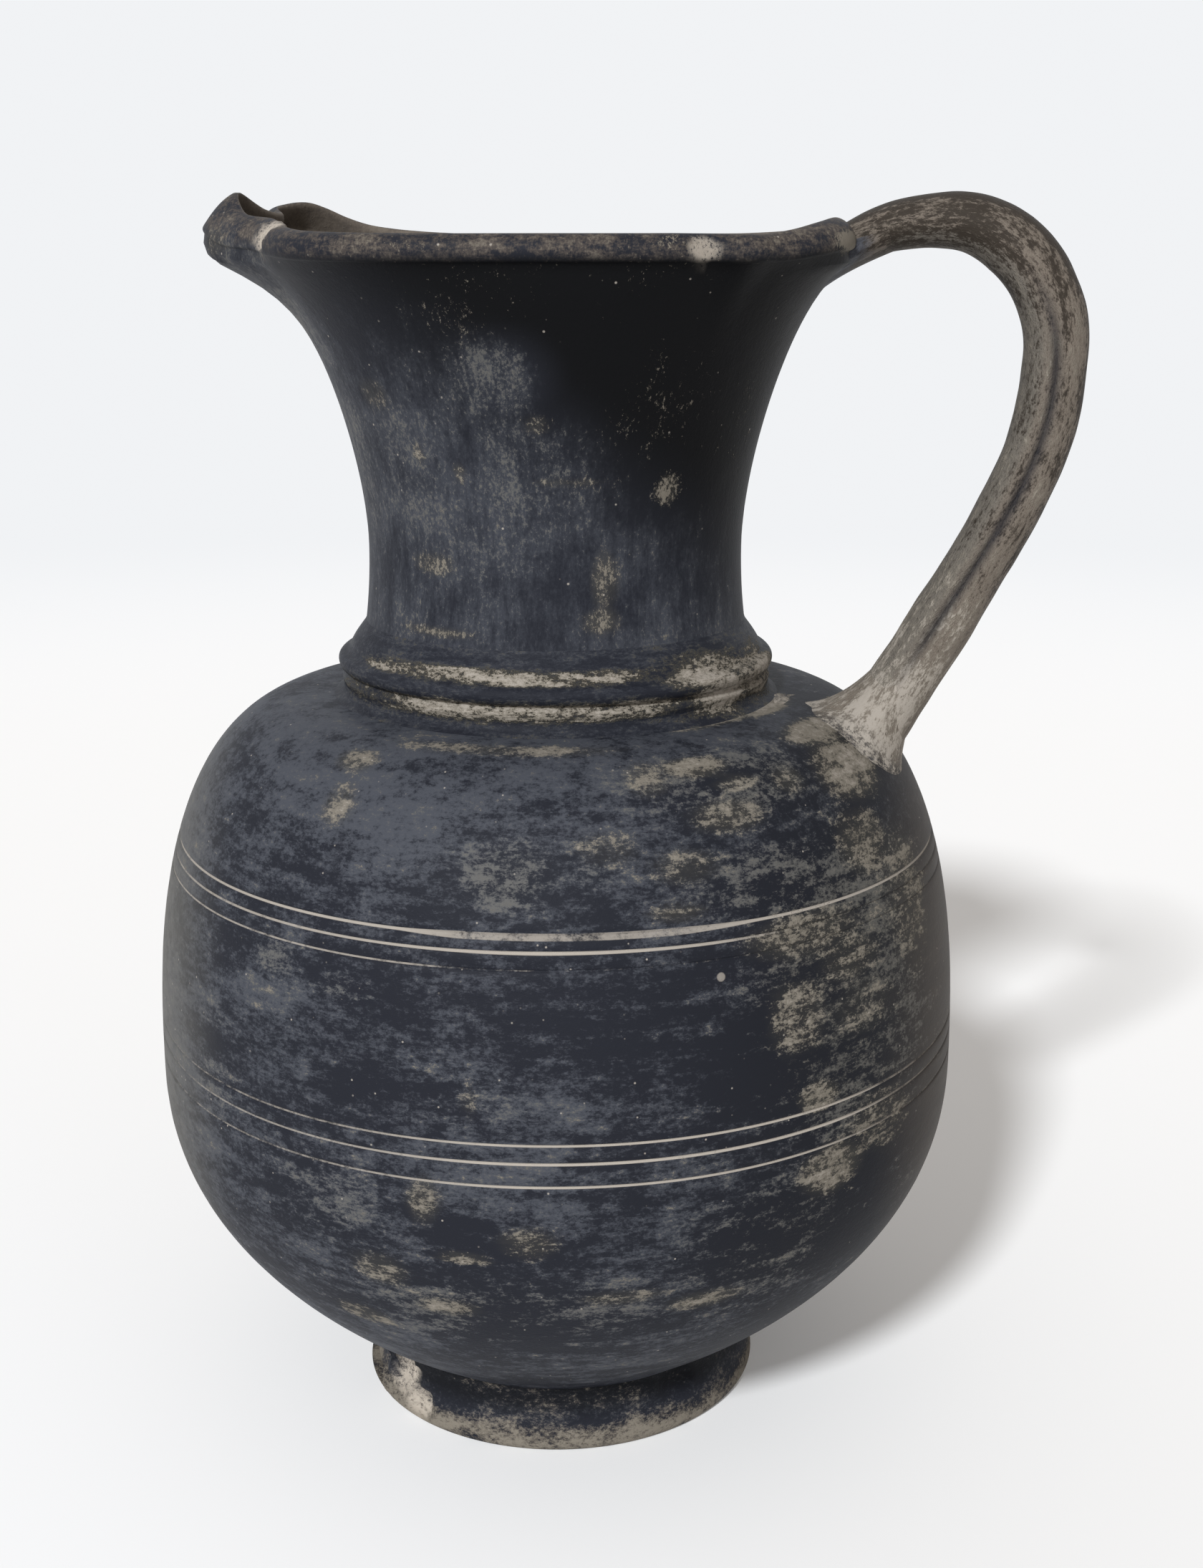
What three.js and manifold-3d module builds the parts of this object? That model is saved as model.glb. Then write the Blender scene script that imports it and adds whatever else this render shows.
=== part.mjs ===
// Trefoil jug of black burnished clay: a thrown body on a ring foot, a neck with a pinched
// mouth, a clay ring over their joint, and a grooved handle from the lip to the shoulder.
// Millimetres, Z up. The spout points to -X, and the handle rises at +X, a little off its line.
import * as THREE from "three";
import { mergeVertices } from "three/addons/utils/BufferGeometryUtils.js";
import Module from "manifold-3d";

// Heights above the ground
const rimHeight = 270;
const footHeight = 15;
const bellyHeight = 84;
const shoulderHeight = 169.2;
const neckWaistHeight = 203;

// Outer radii
const footRadius = 48;
const footWaist = 45.5;
const bellyRadius = 93.3;
const seatRadius = 50;
const neckBaseRadius = 44.7;
const neckWaistRadius = 42.1;
const neckTopRadius = 60;

// Curve of the body, as powers of its two quarter outlines
const lowerFullness = 2.2;
const upperSquareness = 2.38;
const shoulderSquareness = 2.8;

// Curve of the neck, as powers of its height
const baseSweep = 2.2;
const flareSweep = 1.7;
const pinchSweep = 8.5;
const straightHeight = 8;

// Walls and clearances
const bodyWall = 5;
const neckWall = 4;
const footWidth = 13;
const footEdge = 2;
const seam = 0.3;

// Collar ring
const collarHeight = 12.4;
const collarWidth = 4.5;
const ridgeHeight = 7.4;
const ridgeThickness = 3.2;
const collarGroove = 1.3;

// Incised bands round the body, by their heights
const upperBands = [132, 135.7, 138.7];
const lowerBands = [88.5, 93.5, 97.4];
const bandWidth = 1.6;
const bandDepth = 0.6;

// Plan of the mouth: reaches along the spout's line, and half widths across it
const spoutReach = 77.6;
const spoutBluntness = 6;
const spoutHalfWidth = 11;
const nearPinchReach = 63.5;
const farPinchReach = 68.5;
const pinchHalfWidth = 20.5;
const nearCornerReach = 58.5;
const farCornerReach = 71.5;
const cornerRound = 6;
const cornerHalfWidth = 42;
const sideHalfWidth = 60;
const sideLength = 28;
const rearCornerReach = 61.5;
const rearCornerHalfWidth = 33;
const rearReach = 64.5;

// Lip, with its rises above the rim
const lipHeight = 5.6;
const lipThickness = 6;
const lipUndercut = 1.2;
const spoutRise = 8.6;
const farPinchRise = 4.4;
const farCornerRise = 6.9;
const nearPinchRise = 3;
const nearCornerRise = 0.6;
const rearRise = 2.8;
const farRearRise = 1;
const lipLean = 0.82;
const lipLift = 0.7;
const lipThinning = 0.4;
const lipFoot = rimHeight - lipHeight;

// Handle
const handleTurn = 14;
const handleThickness = 12.8;
const handleWidth = 16.5;
const handleRise = 2.6;
const handleTopReach = 85.5;
const handleReach = 108.4;
const handleDrop = 27;
const handleRootReach = 72.6;
const handleSink = 5;
const handleRootLean = 0.12;
const handleRootSwell = 0.08;
const grooveDepth = 1.3;

// Clay pads that hold the handle's ends
const rootPadLength = 27;
const rootPadWidth = 28;
const rootPadHeight = 6.5;
const lipPadLength = 7;
const lipPadWidth = 17;
const lipPadHeight = 4;
const lipPadLean = -0.7;
const lipPadStand = 0.8;
const lipPadDrop = 3;

// Fineness of the facets
const facets = 48;
const stationSteps = 3;
const wallSteps = 15;
const innerWallSteps = 9;
const skinSteps = [8, 14];
const insideSteps = [6, 8];
const clearanceSteps = [10, 20];
const handleSteps = 42;
const handleCorners = 20;
const lumpFacets = [24, 14];

const { Manifold, Mesh: SolidMesh } = await loadSolids();

async function loadSolids() {
  const wasm = await Module();
  wasm.setup();
  return wasm;
}

function solidOf(geometry) {
  const bare = geometry.clone();
  bare.deleteAttribute("normal");
  bare.deleteAttribute("uv");
  const merged = mergeVertices(bare, 1e-4);
  return new Manifold(new SolidMesh({
    numProp: 3,
    vertProperties: new Float32Array(merged.attributes.position.array),
    triVerts: new Uint32Array(merged.index.array),
  }));
}

function geometryOf(solid) {
  const mesh = solid.getMesh();
  const geometry = new THREE.BufferGeometry();
  geometry.setAttribute("position", new THREE.BufferAttribute(mesh.vertProperties, 3));
  geometry.setIndex(new THREE.BufferAttribute(mesh.triVerts, 1));
  return geometry;
}

function clayMesh(name, geometry, colour, roughness) {
  const material = new THREE.MeshStandardMaterial({ color: colour, roughness, metalness: 0 });
  const mesh = new THREE.Mesh(geometry, material);
  mesh.name = name;
  return mesh;
}

function turned(profile) {
  const points = profile.map(([radius, height]) => new THREE.Vector2(radius, height));
  return new THREE.LatheGeometry(points, facets).rotateX(Math.PI / 2);
}

// Joins loops with the same count of points into one skin, round in a ring or capped at its ends
function loft(loops, ring) {
  const count = loops[0].length;
  const indices = [];
  const steps = ring ? loops.length : loops.length - 1;
  for (let i = 0; i < steps; i += 1) {
    const here = i * count;
    const next = ((i + 1) % loops.length) * count;
    for (let j = 0; j < count; j += 1) {
      const k = (j + 1) % count;
      indices.push(here + j, next + j, next + k);
      indices.push(here + j, next + k, here + k);
    }
  }
  if (!ring) {
    const last = (loops.length - 1) * count;
    for (let j = 1; j < count - 1; j += 1) {
      indices.push(0, j, j + 1);
      indices.push(last, last + j + 1, last + j);
    }
  }
  const geometry = new THREE.BufferGeometry();
  const positions = loops.flat().flatMap((point) => point.toArray());
  geometry.setAttribute("position", new THREE.Float32BufferAttribute(positions, 3));
  geometry.setIndex(indices);
  return geometry;
}

function mix(from, to, share) {
  return from + (to - from) * share;
}

function steps(count) {
  return Array.from({ length: count + 1 }, (_, i) => i / count);
}

// Outer radius of the body at a height: a full curve below the belly, a squarer one above
function bodyRadius(height) {
  if (height < bellyHeight) {
    const share = (height - footHeight) / (bellyHeight - footHeight);
    return mix(footWaist, bellyRadius, 1 - (1 - share) ** lowerFullness);
  }
  const share = Math.min((height - bellyHeight) / (shoulderHeight - bellyHeight), 1);
  return mix(seatRadius, bellyRadius, (1 - share ** upperSquareness) ** (1 / shoulderSquareness));
}

function bodyLine([lowerSteps, upperSteps]) {
  const lower = steps(lowerSteps).map((share) => mix(footHeight, bellyHeight, share));
  const upper = steps(upperSteps).slice(1).map((share) => (
    mix(bellyHeight, shoulderHeight, Math.sin(share * Math.PI / 2) ** 1.1)
  ));
  return [...lower, ...upper].map((height) => [bodyRadius(height), height]);
}

// The same line, moved inwards by a wall or outwards by a clearance
function offsetLine(line, distance) {
  return line.slice(1, -1).map(([radius, height], i) => {
    const [r0, z0] = line[i];
    const [r1, z1] = line[i + 2];
    const length = Math.hypot(r1 - r0, z1 - z0);
    return [radius + (z1 - z0) / length * distance, height - (r1 - r0) / length * distance];
  });
}

function bandedLine() {
  const bands = [...lowerBands, ...upperBands];
  const plain = bodyLine(skinSteps)
    .filter(([, height]) => bands.every((band) => Math.abs(height - band) > bandWidth));
  const grooves = bands.flatMap((band) => [
    [bodyRadius(band - bandWidth / 2), band - bandWidth / 2],
    [bodyRadius(band) - bandDepth, band],
    [bodyRadius(band + bandWidth / 2), band + bandWidth / 2],
  ]);
  return [...plain, ...grooves].sort((a, b) => a[1] - b[1]);
}

function footRing() {
  const inner = footWaist - footWidth;
  return clayMesh("foot_ring", turned([
    [inner, footHeight],
    [inner, footEdge],
    [inner + footEdge, 0],
    [footRadius - footEdge, 0],
    [footRadius - footEdge * 0.3, footEdge * 0.3],
    [footRadius, footEdge],
    [mix(footRadius, footWaist, 0.45), footHeight * 0.4],
    [mix(footRadius, footWaist, 0.9), footHeight * 0.8],
    [footWaist, footHeight],
    [inner, footHeight],
  ]), "#34353a", 0.55);
}

function body() {
  const opening = neckBaseRadius - neckWall;
  const floor = footHeight + bodyWall;
  const inside = offsetLine(bodyLine(insideSteps), -bodyWall)
    .filter(([radius, height]) => height > floor && radius > opening);
  return clayMesh("body", turned([
    [0, footHeight],
    ...bandedLine(),
    [opening, shoulderHeight],
    [opening, shoulderHeight - bodyWall],
    ...inside.reverse(),
    [footWaist - bodyWall, floor],
    [0, floor],
  ]), "#3b3c40", 0.5);
}

function bodyClearance() {
  const line = bodyLine(clearanceSteps);
  return solidOf(turned([
    [0, footHeight],
    ...offsetLine(line, seam),
    [seatRadius, shoulderHeight + seam],
    [0, shoulderHeight + seam],
  ]));
}

function collarRing() {
  const inner = neckBaseRadius + seam;
  const outer = inner + collarWidth;
  const ridge = shoulderHeight + ridgeHeight;
  const top = shoulderHeight + collarHeight;
  return clayMesh("collar_ring", turned([
    [inner, shoulderHeight],
    [outer - collarGroove / 3, shoulderHeight],
    [outer - collarGroove, mix(shoulderHeight, ridge, 0.4)],
    [outer - collarGroove * 0.6, ridge - ridgeThickness / 2],
    [outer, ridge - ridgeThickness / 4],
    [outer, ridge + ridgeThickness / 4],
    [outer - collarGroove * 0.6, ridge + ridgeThickness / 2],
    [mix(inner, outer, 0.42), mix(ridge, top, 0.6)],
    [mix(inner, outer, 0.16), mix(ridge, top, 0.82)],
    [inner, top],
    [inner, shoulderHeight],
  ]), "#8a8478", 0.75);
}

// Half of the mouth's plan from the spout to the handle: x, y and the rise of the lip.
// The corner beside the spout stands higher and further forward on the far side.
function mouthStations(side) {
  const far = side > 0;
  const pinchReach = far ? farPinchReach : nearPinchReach;
  const pinchRise = far ? farPinchRise : nearPinchRise;
  const cornerReach = far ? farCornerReach : nearCornerReach;
  const cornerRise = far ? farCornerRise : nearCornerRise;
  const across = (reach, halfWidth, rise) => [reach, side * halfWidth, rise];
  return [
    across(spoutBluntness - spoutReach, spoutHalfWidth, mix(pinchRise, spoutRise, 0.2)),
    across(-pinchReach, pinchHalfWidth, pinchRise),
    across(-cornerReach, mix(pinchHalfWidth, cornerHalfWidth, 0.55), mix(pinchRise, cornerRise, 0.6)),
    across(cornerRound - cornerReach, cornerHalfWidth, cornerRise),
    across(-mix(sideLength, cornerReach, 0.5), mix(cornerHalfWidth, sideHalfWidth, 0.45), cornerRise * 0.3),
    across(-sideLength, sideHalfWidth * 0.94, 0),
    across(0, sideHalfWidth, 0),
    across(sideLength, sideHalfWidth * 0.93, 0),
    across(mix(sideLength, rearCornerReach, 0.55), mix(sideHalfWidth, rearCornerHalfWidth, 0.45), 0),
    across(rearCornerReach, rearCornerHalfWidth, far ? farRearRise : rearRise),
  ];
}

// Top line of the lip, closed and smooth, with the rise as each point's third coordinate
function lipLine() {
  const stations = [
    [-spoutReach, 0, spoutRise],
    ...mouthStations(-1),
    [rearReach, 0, rearRise],
    ...mouthStations(1).reverse(),
  ];
  const line = new THREE.CatmullRomCurve3(
    stations.map((station) => new THREE.Vector3(...station)), true, "centripetal");
  const count = stations.length * stationSteps;
  return Array.from({ length: count }, (_, i) => line.getPoint(i / count));
}

// Outer radius of the round neck at a height, before the mouth is pinched
function neckRadius(height) {
  if (height < neckWaistHeight) {
    const low = shoulderHeight + straightHeight;
    const share = Math.min((neckWaistHeight - height) / (neckWaistHeight - low), 1);
    return mix(neckWaistRadius, neckBaseRadius, share ** baseSweep);
  }
  const share = Math.min((height - neckWaistHeight) / (lipFoot - neckWaistHeight), 1);
  return mix(neckWaistRadius, neckTopRadius, share ** flareSweep);
}

// Outer radius of the neck at a height, under a point of the lip with this reach
function neckWallRadius(height, reach) {
  const flare = Math.max(height - neckWaistHeight, 0) / (lipFoot - neckWaistHeight);
  return neckRadius(height) + Math.min(flare, 1) ** pinchSweep * (reach - lipUndercut - neckTopRadius);
}

// How far a raised lip leans in at a height
function leanIn(height, rise) {
  const up = Math.max(height - lipFoot, 0) / (lipHeight + rise);
  return lipLean * rise * up * up;
}

// Outer wall under one point of the lip, from the seat to the lip's undercut, which lifts
// with the lip
function neckWallLine(reach, rise, count) {
  return steps(count).map((share) => {
    const height = mix(shoulderHeight, lipFoot + lipLift * rise, 1 - (1 - share) ** 1.4);
    return [neckWallRadius(height, reach) - leanIn(height, rise), height];
  });
}

// Rolled section of the lip, from its outer foot over the top to its inner foot, thinner
// where it is raised
function lipRoll(reach, rise) {
  const roll = [
    [0, 0.14], [0.04, 0.45], [-0.08, 0.8], [-0.34, 0.98], [-0.66, 0.98], [-0.92, 0.78], [-1, 0.4],
  ];
  const thickness = lipThickness * (1 - lipThinning * Math.max(rise, 0) / spoutRise);
  return roll.map(([across, up]) => {
    const height = mix(lipFoot + lipLift * rise, rimHeight + rise, up);
    return [reach + across * thickness - leanIn(height, rise), height];
  });
}

function upright(point, line) {
  const reach = Math.hypot(point.x, point.y);
  return line.map(([radius, height]) => (
    new THREE.Vector3(point.x / reach * radius, point.y / reach * radius, height)
  ));
}

function neck() {
  const loops = lipLine().map((point) => {
    const reach = Math.hypot(point.x, point.y);
    const outside = neckWallLine(reach, point.z, wallSteps);
    const inside = neckWallLine(reach, point.z, innerWallSteps)
      .map(([radius, height]) => [radius - neckWall, height]);
    return upright(point, [...outside, ...lipRoll(reach, point.z), ...inside.reverse()]);
  });
  return clayMesh("neck", loft(loops, true), "#2b2c30", 0.45);
}

function neckClearance() {
  const core = 1;
  const columns = lipLine().map((point) => {
    const reach = Math.hypot(point.x, point.y) + seam;
    const outside = neckWallLine(reach, point.z, wallSteps);
    const roll = lipRoll(reach, point.z).slice(0, 4);
    const top = roll[roll.length - 1][1];
    return upright(point, [[core, shoulderHeight], ...outside, ...roll, [core, top]]);
  });
  const levels = columns[0].map((_, level) => columns.map((column) => column[level]).reverse());
  return solidOf(loft(levels, false));
}

function shoulderHeightAt(radius) {
  const share = (radius - seatRadius) / (bellyRadius - seatRadius);
  const rise = (1 - share ** shoulderSquareness) ** (1 / upperSquareness);
  return mix(bellyHeight, shoulderHeight, rise);
}

// Middle line of the handle in its own upright plane
function handleLine() {
  const top = rimHeight + handleRise;
  const bend = top - handleDrop;
  const rootHeight = shoulderHeightAt(handleRootReach);
  const rootLean = new THREE.Vector2(handleReach - handleRootReach, bend - rootHeight)
    .normalize().add(new THREE.Vector2(handleRootLean, 0)).normalize();
  const fall = bend - rootHeight;
  const path = new THREE.Path();
  path.moveTo(rearReach - neckWall, rimHeight - lipHeight * 0.95);
  path.quadraticCurveTo(mix(rearReach, handleTopReach, 0.25), top, handleTopReach, top);
  path.absellipse(handleTopReach, bend, handleReach - handleTopReach, handleDrop, Math.PI / 2, 0, true);
  path.bezierCurveTo(
    handleReach, bend - fall * 0.27,
    handleRootReach + rootLean.x * fall * 0.6, rootHeight + rootLean.y * fall * 0.6,
    handleRootReach - rootLean.x * handleSink, rootHeight - rootLean.y * handleSink,
  );
  return path;
}

// Oval section of the handle with a groove down each side, which fades out at both ends
function handleGeometry(extra) {
  const path = handleLine();
  const sideways = new THREE.Vector3(0, 1, 0);
  const loops = steps(handleSteps).map((share) => {
    const at = path.getPointAt(share);
    const along = path.getTangentAt(share);
    const outwards = new THREE.Vector3(along.y, 0, -along.x);
    const swell = handleRootSwell * THREE.MathUtils.smoothstep(share, 0.7, 0.95);
    const thickness = handleThickness * (mix(0.62, 1.07, Math.min(share * 4, 1)) + swell);
    const groove = grooveDepth * THREE.MathUtils.smoothstep(share, 0.3, 0.45)
      * (1 - THREE.MathUtils.smoothstep(share, 0.75, 0.9));
    return Array.from({ length: handleCorners }, (_, corner) => {
      const angle = corner / handleCorners * 2 * Math.PI;
      const dip = corner % (handleCorners / 2) === 0 ? groove : 0;
      const across = Math.cos(angle) * (handleWidth / 2 + extra - dip);
      const through = Math.sin(angle) * (thickness / 2 + extra);
      return new THREE.Vector3(at.x, 0, at.y)
        .addScaledVector(sideways, across)
        .addScaledVector(outwards, through);
    });
  });
  return loft(loops, false).rotateZ(-THREE.MathUtils.degToRad(handleTurn));
}

// Rounded lump of clay in the handle's plane, with its size, place and lean
function lump(length, width, height, reach, level, lean) {
  return solidOf(new THREE.SphereGeometry(0.5, ...lumpFacets)
    .scale(length, width, height)
    .rotateY(lean)
    .translate(reach, 0, level)
    .rotateZ(-THREE.MathUtils.degToRad(handleTurn)));
}

function handle() {
  const cut = solidOf(handleGeometry(0)).subtract(bodyClearance()).subtract(neckClearance());
  return clayMesh("handle", geometryOf(cut), "#6f6a62", 0.7);
}

function handleRootPad() {
  const level = shoulderHeightAt(handleRootReach);
  const below = shoulderHeightAt(handleRootReach + 1);
  const lean = Math.atan2(level - below, 1);
  const pad = lump(rootPadLength, rootPadWidth, rootPadHeight, handleRootReach, level, lean);
  const cut = pad.subtract(bodyClearance()).subtract(solidOf(handleGeometry(seam)));
  return clayMesh("handle_root_pad", geometryOf(cut), "#8a8478", 0.8);
}

function handleLipPad() {
  const level = lipFoot - lipPadDrop;
  const reach = neckWallRadius(level, rearReach) + lipPadStand;
  const pad = lump(lipPadLength, lipPadWidth, lipPadHeight, reach, level, lipPadLean);
  const cut = pad.subtract(neckClearance()).subtract(solidOf(handleGeometry(seam)));
  return clayMesh("handle_lip_pad", geometryOf(cut), "#6f6a62", 0.8);
}

const jug = new THREE.Group();
jug.add(footRing(), body(), collarRing(), neck(), handle(), handleRootPad(), handleLipPad());
const extent = new THREE.Box3().setFromObject(jug, true);
jug.position.x = -(extent.min.x + extent.max.x) / 2;
export default jug;
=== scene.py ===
"""Black burnished clay jug with a pinched mouth: its looks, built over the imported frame."""

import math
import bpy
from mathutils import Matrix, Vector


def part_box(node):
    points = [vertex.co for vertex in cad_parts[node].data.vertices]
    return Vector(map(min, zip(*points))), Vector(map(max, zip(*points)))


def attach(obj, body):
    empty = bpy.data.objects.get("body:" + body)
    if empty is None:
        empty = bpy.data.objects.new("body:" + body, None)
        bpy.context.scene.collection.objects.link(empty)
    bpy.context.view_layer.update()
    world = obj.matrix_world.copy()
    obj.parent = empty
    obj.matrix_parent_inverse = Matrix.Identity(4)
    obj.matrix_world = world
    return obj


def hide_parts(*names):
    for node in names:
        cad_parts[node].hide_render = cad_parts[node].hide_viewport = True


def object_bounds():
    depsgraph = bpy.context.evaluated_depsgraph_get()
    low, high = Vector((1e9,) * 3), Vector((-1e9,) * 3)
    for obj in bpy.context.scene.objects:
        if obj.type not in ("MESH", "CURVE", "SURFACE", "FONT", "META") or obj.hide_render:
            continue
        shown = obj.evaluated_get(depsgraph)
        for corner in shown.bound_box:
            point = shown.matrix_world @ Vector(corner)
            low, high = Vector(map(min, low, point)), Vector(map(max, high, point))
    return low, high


bl_info = {
    "name": "Pinched-Mouth Clay Jug",
    "version": (1, 0, 0),
    "blender": (4, 5, 0),
    "location": "3D View > Sidebar > Jug",
    "description": "Builds a black burnished jug with a pinched mouth, a collar and a looped handle",
    "category": "Add Mesh",
}

import bpy
import numpy as np
from mathutils import Matrix, Vector, noise

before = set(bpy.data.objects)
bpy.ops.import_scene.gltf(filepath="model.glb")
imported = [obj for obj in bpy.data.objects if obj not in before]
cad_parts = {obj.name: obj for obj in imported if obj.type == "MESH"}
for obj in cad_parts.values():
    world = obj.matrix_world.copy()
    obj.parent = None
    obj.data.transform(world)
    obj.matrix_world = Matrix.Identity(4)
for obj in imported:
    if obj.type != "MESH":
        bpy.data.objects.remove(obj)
CAD_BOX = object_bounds()
FOOT_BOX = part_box("foot_ring")
BODY_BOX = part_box("body")
AXIS = Vector(((FOOT_BOX[0].x + FOOT_BOX[1].x) / 2, 0, 0))
MM = 0.001
FULL_TURN = 2 * math.pi


# Sizes and colours that a user would change

def length(name, description, millimetres):
    return bpy.props.FloatProperty(
        name=name, description=description, default=millimetres * MM,
        unit="LENGTH", subtype="DISTANCE", precision=5)


def power(name, description, value):
    return bpy.props.FloatProperty(name=name, description=description, default=value)


def tint(name, description, value):
    return bpy.props.FloatVectorProperty(
        name=name, description=description, default=value, size=3, min=0, max=1, subtype="COLOR")


class BodySizes(bpy.types.PropertyGroup):
    foot_height: length("Foot height", "Height of the ring foot", FOOT_BOX[1].z / MM)
    foot_radius: length("Foot radius", "Outer radius of the foot's lower edge", 48)
    foot_waist: length("Foot waist", "Outer radius of the foot where it meets the body", 45.5)
    foot_width: length("Foot width", "Width of the foot's standing ring", 13)
    foot_edge: length("Foot edge", "Rounding of the foot's lower edge", 2)
    belly_height: length("Belly height", "Height of the widest part", 84)
    belly_radius: length("Belly radius", "Outer radius of the widest part", 93.2)
    shoulder_height: length("Shoulder height", "Height of the seat that the neck stands on", BODY_BOX[1].z / MM)
    seat_radius: length("Seat radius", "Outer radius of the shoulder's flat top", 50)
    wall: length("Body wall", "Thickness of the body's wall", 5)
    lower_fullness: power("Lower fullness", "Power of the curve below the belly", 2.2)
    upper_squareness: power("Upper squareness", "Power of the curve's height above the belly", 2.38)
    shoulder_squareness: power("Shoulder squareness", "Power of the curve's radius above the belly", 2.8)
    wobble: length("Wobble", "How far the thrown wall strays from round", 0.3)


class NeckSizes(bpy.types.PropertyGroup):
    rim_height: length("Rim height", "Height of the level part of the lip", 270)
    waist_height: length("Waist height", "Height of the neck's narrowest part", 203)
    base_radius: length("Base radius", "Outer radius at the collar", 44.7)
    waist_radius: length("Waist radius", "Outer radius at the waist", 42.1)
    top_radius: length("Top radius", "Outer radius under the lip before it is pinched", 60)
    wall: length("Neck wall", "Thickness of the neck's wall", 4)
    straight_height: length("Straight height", "Height of the straight part at the collar", 8)
    base_sweep: power("Base sweep", "Power of the curve below the waist", 2.2)
    flare_sweep: power("Flare sweep", "Power of the curve above the waist", 1.7)
    pinch_sweep: power("Pinch sweep", "Power by which the pinched mouth pulls the wall", 8.5)
    spout_rise: length("Spout rise", "Height of the spout's tip above the rim", 8.6)
    lip_height: length("Lip height", "Height of the rolled lip", 5.6)
    lip_thickness: length("Lip thickness", "Thickness of the rolled lip", 6)
    lip_undercut: length("Lip undercut", "How far the lip stands out over the wall", 1.2)
    lip_lean: power("Lip lean", "How far the raised lip leans in for its rise", 0.82)
    lip_lift: power("Lip lift", "How far the lip's foot rises for the lip's rise", 0.7)
    lip_thinning: power("Lip thinning", "Share by which the lip thins at the spout", 0.4)
    collar_height: length("Collar height", "Height of the clay ring round the neck", 12.4)
    collar_width: length("Collar width", "How far the clay ring stands out from the neck", 4.5)
    ridge_height: length("Ridge height", "Height of the collar's ridge over its seat", 7.4)


class HandleSizes(bpy.types.PropertyGroup):
    turn: bpy.props.FloatProperty(
        name="Turn", description="Angle of the handle off the spout's line",
        default=math.radians(14), subtype="ANGLE")
    thickness: length("Thickness", "Thickness of the handle in its own plane", 12.8)
    width: length("Width", "Width of the handle across its plane", 16.5)
    lip_reach: length("Lip reach", "Reach of the lip behind the handle", 64.5)
    rise: length("Rise", "Height of the arch's middle line above the rim", 2.6)
    top_reach: length("Top reach", "Reach of the arch's highest point", 85.5)
    reach: length("Reach", "Greatest reach of the handle's middle line", 108.4)
    drop: length("Drop", "Height over which the arch turns down", 27)
    root_reach: length("Root reach", "Reach of the handle's root on the shoulder", 72.6)
    sink: length("Sink", "How far the root goes into the shoulder", 5)
    groove_depth: length("Groove depth", "Depth of the groove along each side", 1.5)
    root_spread: length("Root spread", "How far the clay at the root spreads", 7.5)
    root_climb: length("Root climb", "How far the clay at the root climbs", 14)
    lip_spread: length("Lip spread", "How far the clay under the handle's start spreads", 6.5)
    lip_climb: length("Lip climb", "How far the clay at the lip reaches along the handle", 13)


class ClayColours(bpy.types.PropertyGroup):
    burnish: tint("Burnish", "Dark burnished clay", (0.0165, 0.018, 0.0245))
    # Painted shade: the near-black put where shade falls, under the lip, on the right side of the body and neck,
    # and at the top of the foot
    shade_black: tint("Shade", "The darkest burnish, under the lip", (0.0045, 0.0047, 0.0055))
    # Partly greyed burnish and partly painted sheen: the bluish grey that the burnish shows where it reflects
    # the pale room
    haze_and_sheen: tint("Haze", "Greyed burnish", (0.06, 0.065, 0.079))
    brown: tint("Brown", "Warm worn clay", (0.125, 0.102, 0.082))
    tan: tint("Tan", "Handled clay of the handle", (0.175, 0.148, 0.123))
    stain: tint("Stain", "Thin olive deposit", (0.075, 0.07, 0.056))
    # Also painted sheen: along the body's far left edge and on the handle's inner face, which face the lamp
    dust_and_sheen: tint("Dust", "Fine grey dust in the burnish", (0.135, 0.13, 0.117))
    silt: tint("Silt", "Buff deposit", (0.21, 0.188, 0.155))
    lime: tint("Lime", "Pale deposit", (0.38, 0.345, 0.305))
    chip: tint("Chip", "Pale broken clay", (0.45, 0.4, 0.34))


class StudioLook(bpy.types.PropertyGroup):
    backdrop: tint("Backdrop", "Colour behind the jug", (0.88, 0.893, 0.912))
    floor: tint("Floor", "Colour of the table", (0.98, 0.985, 0.99))
    paper: tint("Paper", "Colour of the table's own paleness near the jug", (0.965, 0.975, 0.995))
    glow: power("Table glow", "Share of the table's own paleness that the camera sees", 0.1)
    # Painted light: the table's glow is raised in front of the jug and to its left, where the lamp falls
    front_glow: power("Front glow", "What is added to that share in front of the jug and to its left", 0.6)
    ambient: power("Ambient", "Strength of the light from all round", 0.42)
    ambient_colour: tint("Ambient colour", "Colour of the light from all round", (1, 0.94, 0.88))
    lamp_strength: power("Lamp strength", "Strength of the lamp, where white is about 3", 3.1)
    lamp_colour: tint("Lamp colour", "Colour of the lamp", (0.96, 0.98, 1))
    lamp_width: bpy.props.FloatProperty(
        name="Lamp width", description="Angle that the lamp fills, as the jug sees it",
        default=math.radians(7), subtype="ANGLE")
    distance: length("Camera distance", "Distance of the camera from the jug's axis", 460)
    height: length("Camera height", "Height of the camera", 270)
    focal: bpy.props.FloatProperty(
        name="Focal length", description="Focal length on the sensor", default=46.87,
        unit="CAMERA")
    pitch: bpy.props.FloatProperty(
        name="Pitch", description="Angle of the camera below level", default=math.radians(15.1),
        subtype="ANGLE")
    azimuth: bpy.props.FloatProperty(
        name="Azimuth", description="Angle of the camera round the jug", default=math.radians(2),
        subtype="ANGLE")
    aside: bpy.props.FloatProperty(
        name="Aside", description="Angle by which the jug's axis stands left of the middle",
        default=math.radians(1.3), subtype="ANGLE")


# Outlines of the jug

def mix(start, end, share):
    return start + (end - start) * share


def spread(count):
    return [i / count for i in range(count + 1)]


def eased(value, low, high):
    share = min(max((value - low) / (high - low), 0), 1)
    return share * share * (3 - 2 * share)


def bell(apart, width):
    return math.exp(-(apart / width) ** 2)


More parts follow.
